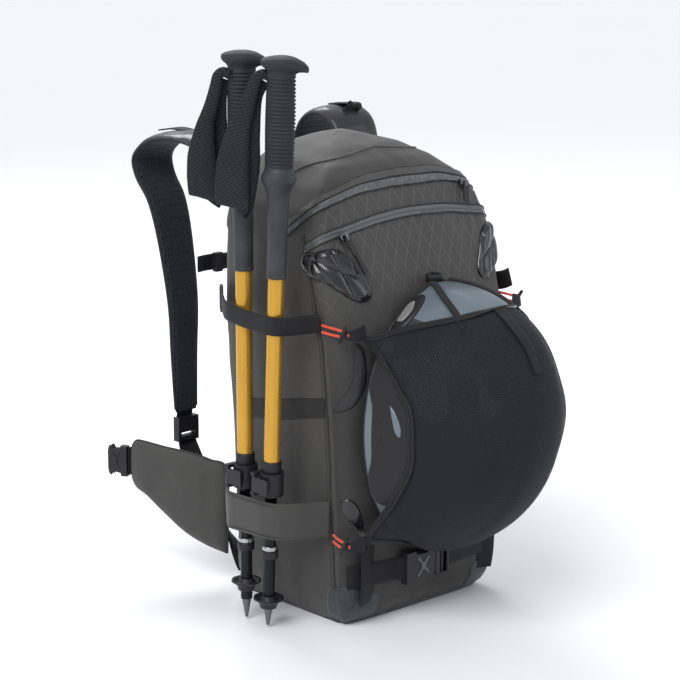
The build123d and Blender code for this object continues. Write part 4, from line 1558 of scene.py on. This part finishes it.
def buckle_plug(node, place, body):
    """Plug of a side-release buckle, with two sprung prongs and a guide."""
    plug = [plate(node + "_head", mirror_y([(.0080, .0188), (.0015, .0160), (.0008, .0090)]),
                  -.0045, .0045, place, body)]
    for x, wide in ((.0105, .0026), (.0195, .0032)):
        plug.append(bar(node + "_bar", (x, x + wide), (-.0168, .0168), .0036, place, body))
    for y in (-.0168, .0168):
        plug.append(bar(node + "_cheek", (.0060, .0227), (y - .0020, y + .0020), .0045, place,
                        body))
    arm = [(.0020, .0085), (-.0080, .0098), (-.0150, .0150), (-.0270, .0158), (-.0278, .0120),
           (-.0180, .0100), (-.0120, .0062), (.0020, .0052)]
    for turn in (1, -1):
        plug.append(plate(node + "_prong", [(x, turn * y) for x, y in arm], -.0023, .0023, place,
                          body))
    plug.append(plate(node + "_guide", [(.0020, -.0016), (.0020, .0016), (-.0230, .0016),
                                        (-.0245, 0), (-.0230, -.0016)], -.0022, .0022, place,
                      body))
    made = join(node + "_moulded", plug)
    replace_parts(made, node)


front_frame = buckle_place((-.002, -.1117, FRONT_Z), ACROSS, (0, -1, 0), (1, 1, 1))
buckle_socket("front_buckle_socket", front_frame, "pack", GREY_BUCKLE)
buckle_plug("front_buckle_plug", front_frame, "front_buckle")
chest_frame = buckle_place((-.006, .2224, .356), ACROSS, (0, -1, 0), (.72, .62, .72))
buckle_socket("sternum_socket", chest_frame, "harness")
buckle_plug("sternum_plug", chest_frame, "sternum_buckle")
HIP_SIZES = (.58, 1, .80)
hip_end = np.array((-.110, .117, .133))
buckle_socket("hip_buckle_socket", buckle_place(hip_end + WING_WAY * .1550, WING_WAY, WING_OUT,
                                                HIP_SIZES), "left_hip_wing")
mirror = np.array((-1, 1, 1))
buckle_plug("hip_buckle_plug", buckle_place((hip_end + WING_WAY * .1429) * mirror,
                                            -WING_WAY * mirror, WING_OUT * mirror, HIP_SIZES),
            "right_hip_wing")

# Elastic loops: the route's points, from the side seam round the hook and back.
for level, z, back, out, tip, length in (("lower", .105, -.0802, .1215, .1290, .0728),
                                         ("upper", .340, -.0721, .1308, .1310, .0860)):
    for side, word in SIDES:
        points = [(side * out, back + .0014, z - .0034), (side * (tip + .0010), -.0960, z - .0034),
                  (side * tip, -.1130, z - .0034), (side * tip, -.1130, z + .0030),
                  (side * (tip + .0010), -.0960, z + .0036), (side * out, back + .0014, z + .0040)]
        curve = bpy.data.curves.new(f"elastic_{level}_{word}", "CURVE")
        curve.dimensions = "3D"
        curve.bevel_depth = .0015
        curve.bevel_resolution = 4
        curve.use_fill_caps = True
        spline = curve.splines.new("NURBS")
        spline.points.add(len(points) - 1)
        for control, point in zip(spline.points, points):
            control.co = (*point, 1)
        spline.use_endpoint_u = True
        spline.order_u = 3
        spline.resolution_u = 12
        curve.materials.append(CORD)
        cord = bpy.data.objects.new(f"elastic_{level}_{word}", curve)
        bpy.context.scene.collection.objects.link(cord)
        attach(cord, "pack")
        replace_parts(cord, f"cord_{level}_{word}")
        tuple(points[0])
        knob_centre = np.array((side * (tip + .0030), -.1065, z + .0003))
        lean = unit((side * .10, -.55, .80))
        toggle = tube(f"net_toggle_{level}_{word}", [knob_centre - lean * .0115, knob_centre,
                                                     knob_centre + lean * .0115],
                      (.0017, .0024, .0017), BUCKLE, "net", 24, 12)
        tab = strap(f"net_tab_{level}_{word}",
                    [tuple(knob_centre + (0, -.001, 0)), (side * (tip - .001), -.1150, z),
                     (side * .1230, -.1188, z + .001), (side * .1130, -.1190, z + .002)],
                    [(0, .3, 1), (0, .2, 1), UP, UP], (.008, .011, .015, .018), .0018, WEB,
                    "net", 40)
        hook = join(f"net_hook_{level}_{word}", [toggle, tab])
        if level == "lower" and side < 0:
            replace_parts(hook, "net_hooks")


# ---------------------------------------------------------------- materials of the CAD's own pieces
NODE_CLOTHS = {BASE: ["base_panel"], INNER: ["frame_sheet"], STEEL: ["frame_stays"],
               ZIP_METAL: ["front_zip_slider", "main_zip_slider"],
               BUCKLE: ["strap_adjusters", "helmet_cradle", "main_zip_pull", "front_zip_pull"],
               GOLD: [], POLE_BLACK: [], TIP: []}
for which in POLES:
    for material, part in ((GOLD, "upper_shaft"), (POLE_BLACK, "lower_shaft"), (TIP, "tip"),
                           (BUCKLE, "lock_body"), (BUCKLE, "lock_lever")):
        NODE_CLOTHS[material].append(f"{which}_pole_{part}")
for material, names in NODE_CLOTHS.items():
    for name in names:
        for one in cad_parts[name].material_slots:
            one.material = material


# ---------------------------------------------------------------- camera, light, floor
def facing(place, target):
    """Rotation that points a camera or a light at a target."""
    return (Vector(target) - Vector(place)).to_track_quat("-Z", "Y").to_euler()


def look_from(place, target):
    """The scene's camera."""
    camera = bpy.data.objects.new("camera", bpy.data.cameras.new("camera"))
    bpy.context.scene.collection.objects.link(camera)
    camera.location = place
    camera.rotation_euler = facing(place, target)
    camera.data.lens = 125.4
    camera.data.sensor_width = 36
    bpy.context.scene.camera = camera


def area_light(name, place, target, size, power):
    """Soft rectangular light."""
    data = bpy.data.lights.new(name, "AREA")
    data.shape = "RECTANGLE"
    data.size, data.size_y = size
    data.energy = power
    light = bpy.data.objects.new(name, data)
    bpy.context.scene.collection.objects.link(light)
    light.location = place
    light.rotation_euler = facing(place, target)


def studio():
    """Wide pale floor, a broad soft key from the upper left, and two soft panels for gloss."""
    floor_shader = Shader("studio_floor", (0.86, 0.86, 0.87), 0.6)
    floor_shader.color(floor_shader.tint(floor_shader.clouds(0.6, 2), (0.84, 0.84, 0.85),
                                         (0.88, 0.88, 0.885)))
    reach = 60
    verts = [Vector((x, y, 0)) for x in (-reach, reach) for y in (-reach, reach)]
    floor = piece("studio_floor", verts, grid_faces(2, 2), floor_shader.material, None)
    world = bpy.data.worlds.new("soft_white")
    world.use_nodes = True
    world.node_tree.nodes["Background"].inputs["Color"].default_value = (0.93, 0.95, 1, 1)
    world.node_tree.nodes["Background"].inputs["Strength"].default_value = 0.66
    bpy.context.scene.world = world
    key = bpy.data.objects.new("key", bpy.data.lights.new("key", "SUN"))
    key.data.energy = 2.15
    key.data.angle = math.radians(38)
    key.rotation_euler = Vector((-1.9, -0.7, 2.1)).to_track_quat("Z", "Y").to_euler()
    bpy.context.scene.collection.objects.link(key)
    area_light("fill", (1.6, -1.9, 1.2), (0, -.05, .25), (1.4, 1.6), 8)
    area_light("rim", (0.6, 1.8, 1.9), (0, 0, .4), (1.6, 0.8), 30)


look_from((-1.782, -1.901, .915), (-.04, 0, .301))
studio()
bpy.context.scene.view_settings.view_transform = "Standard"
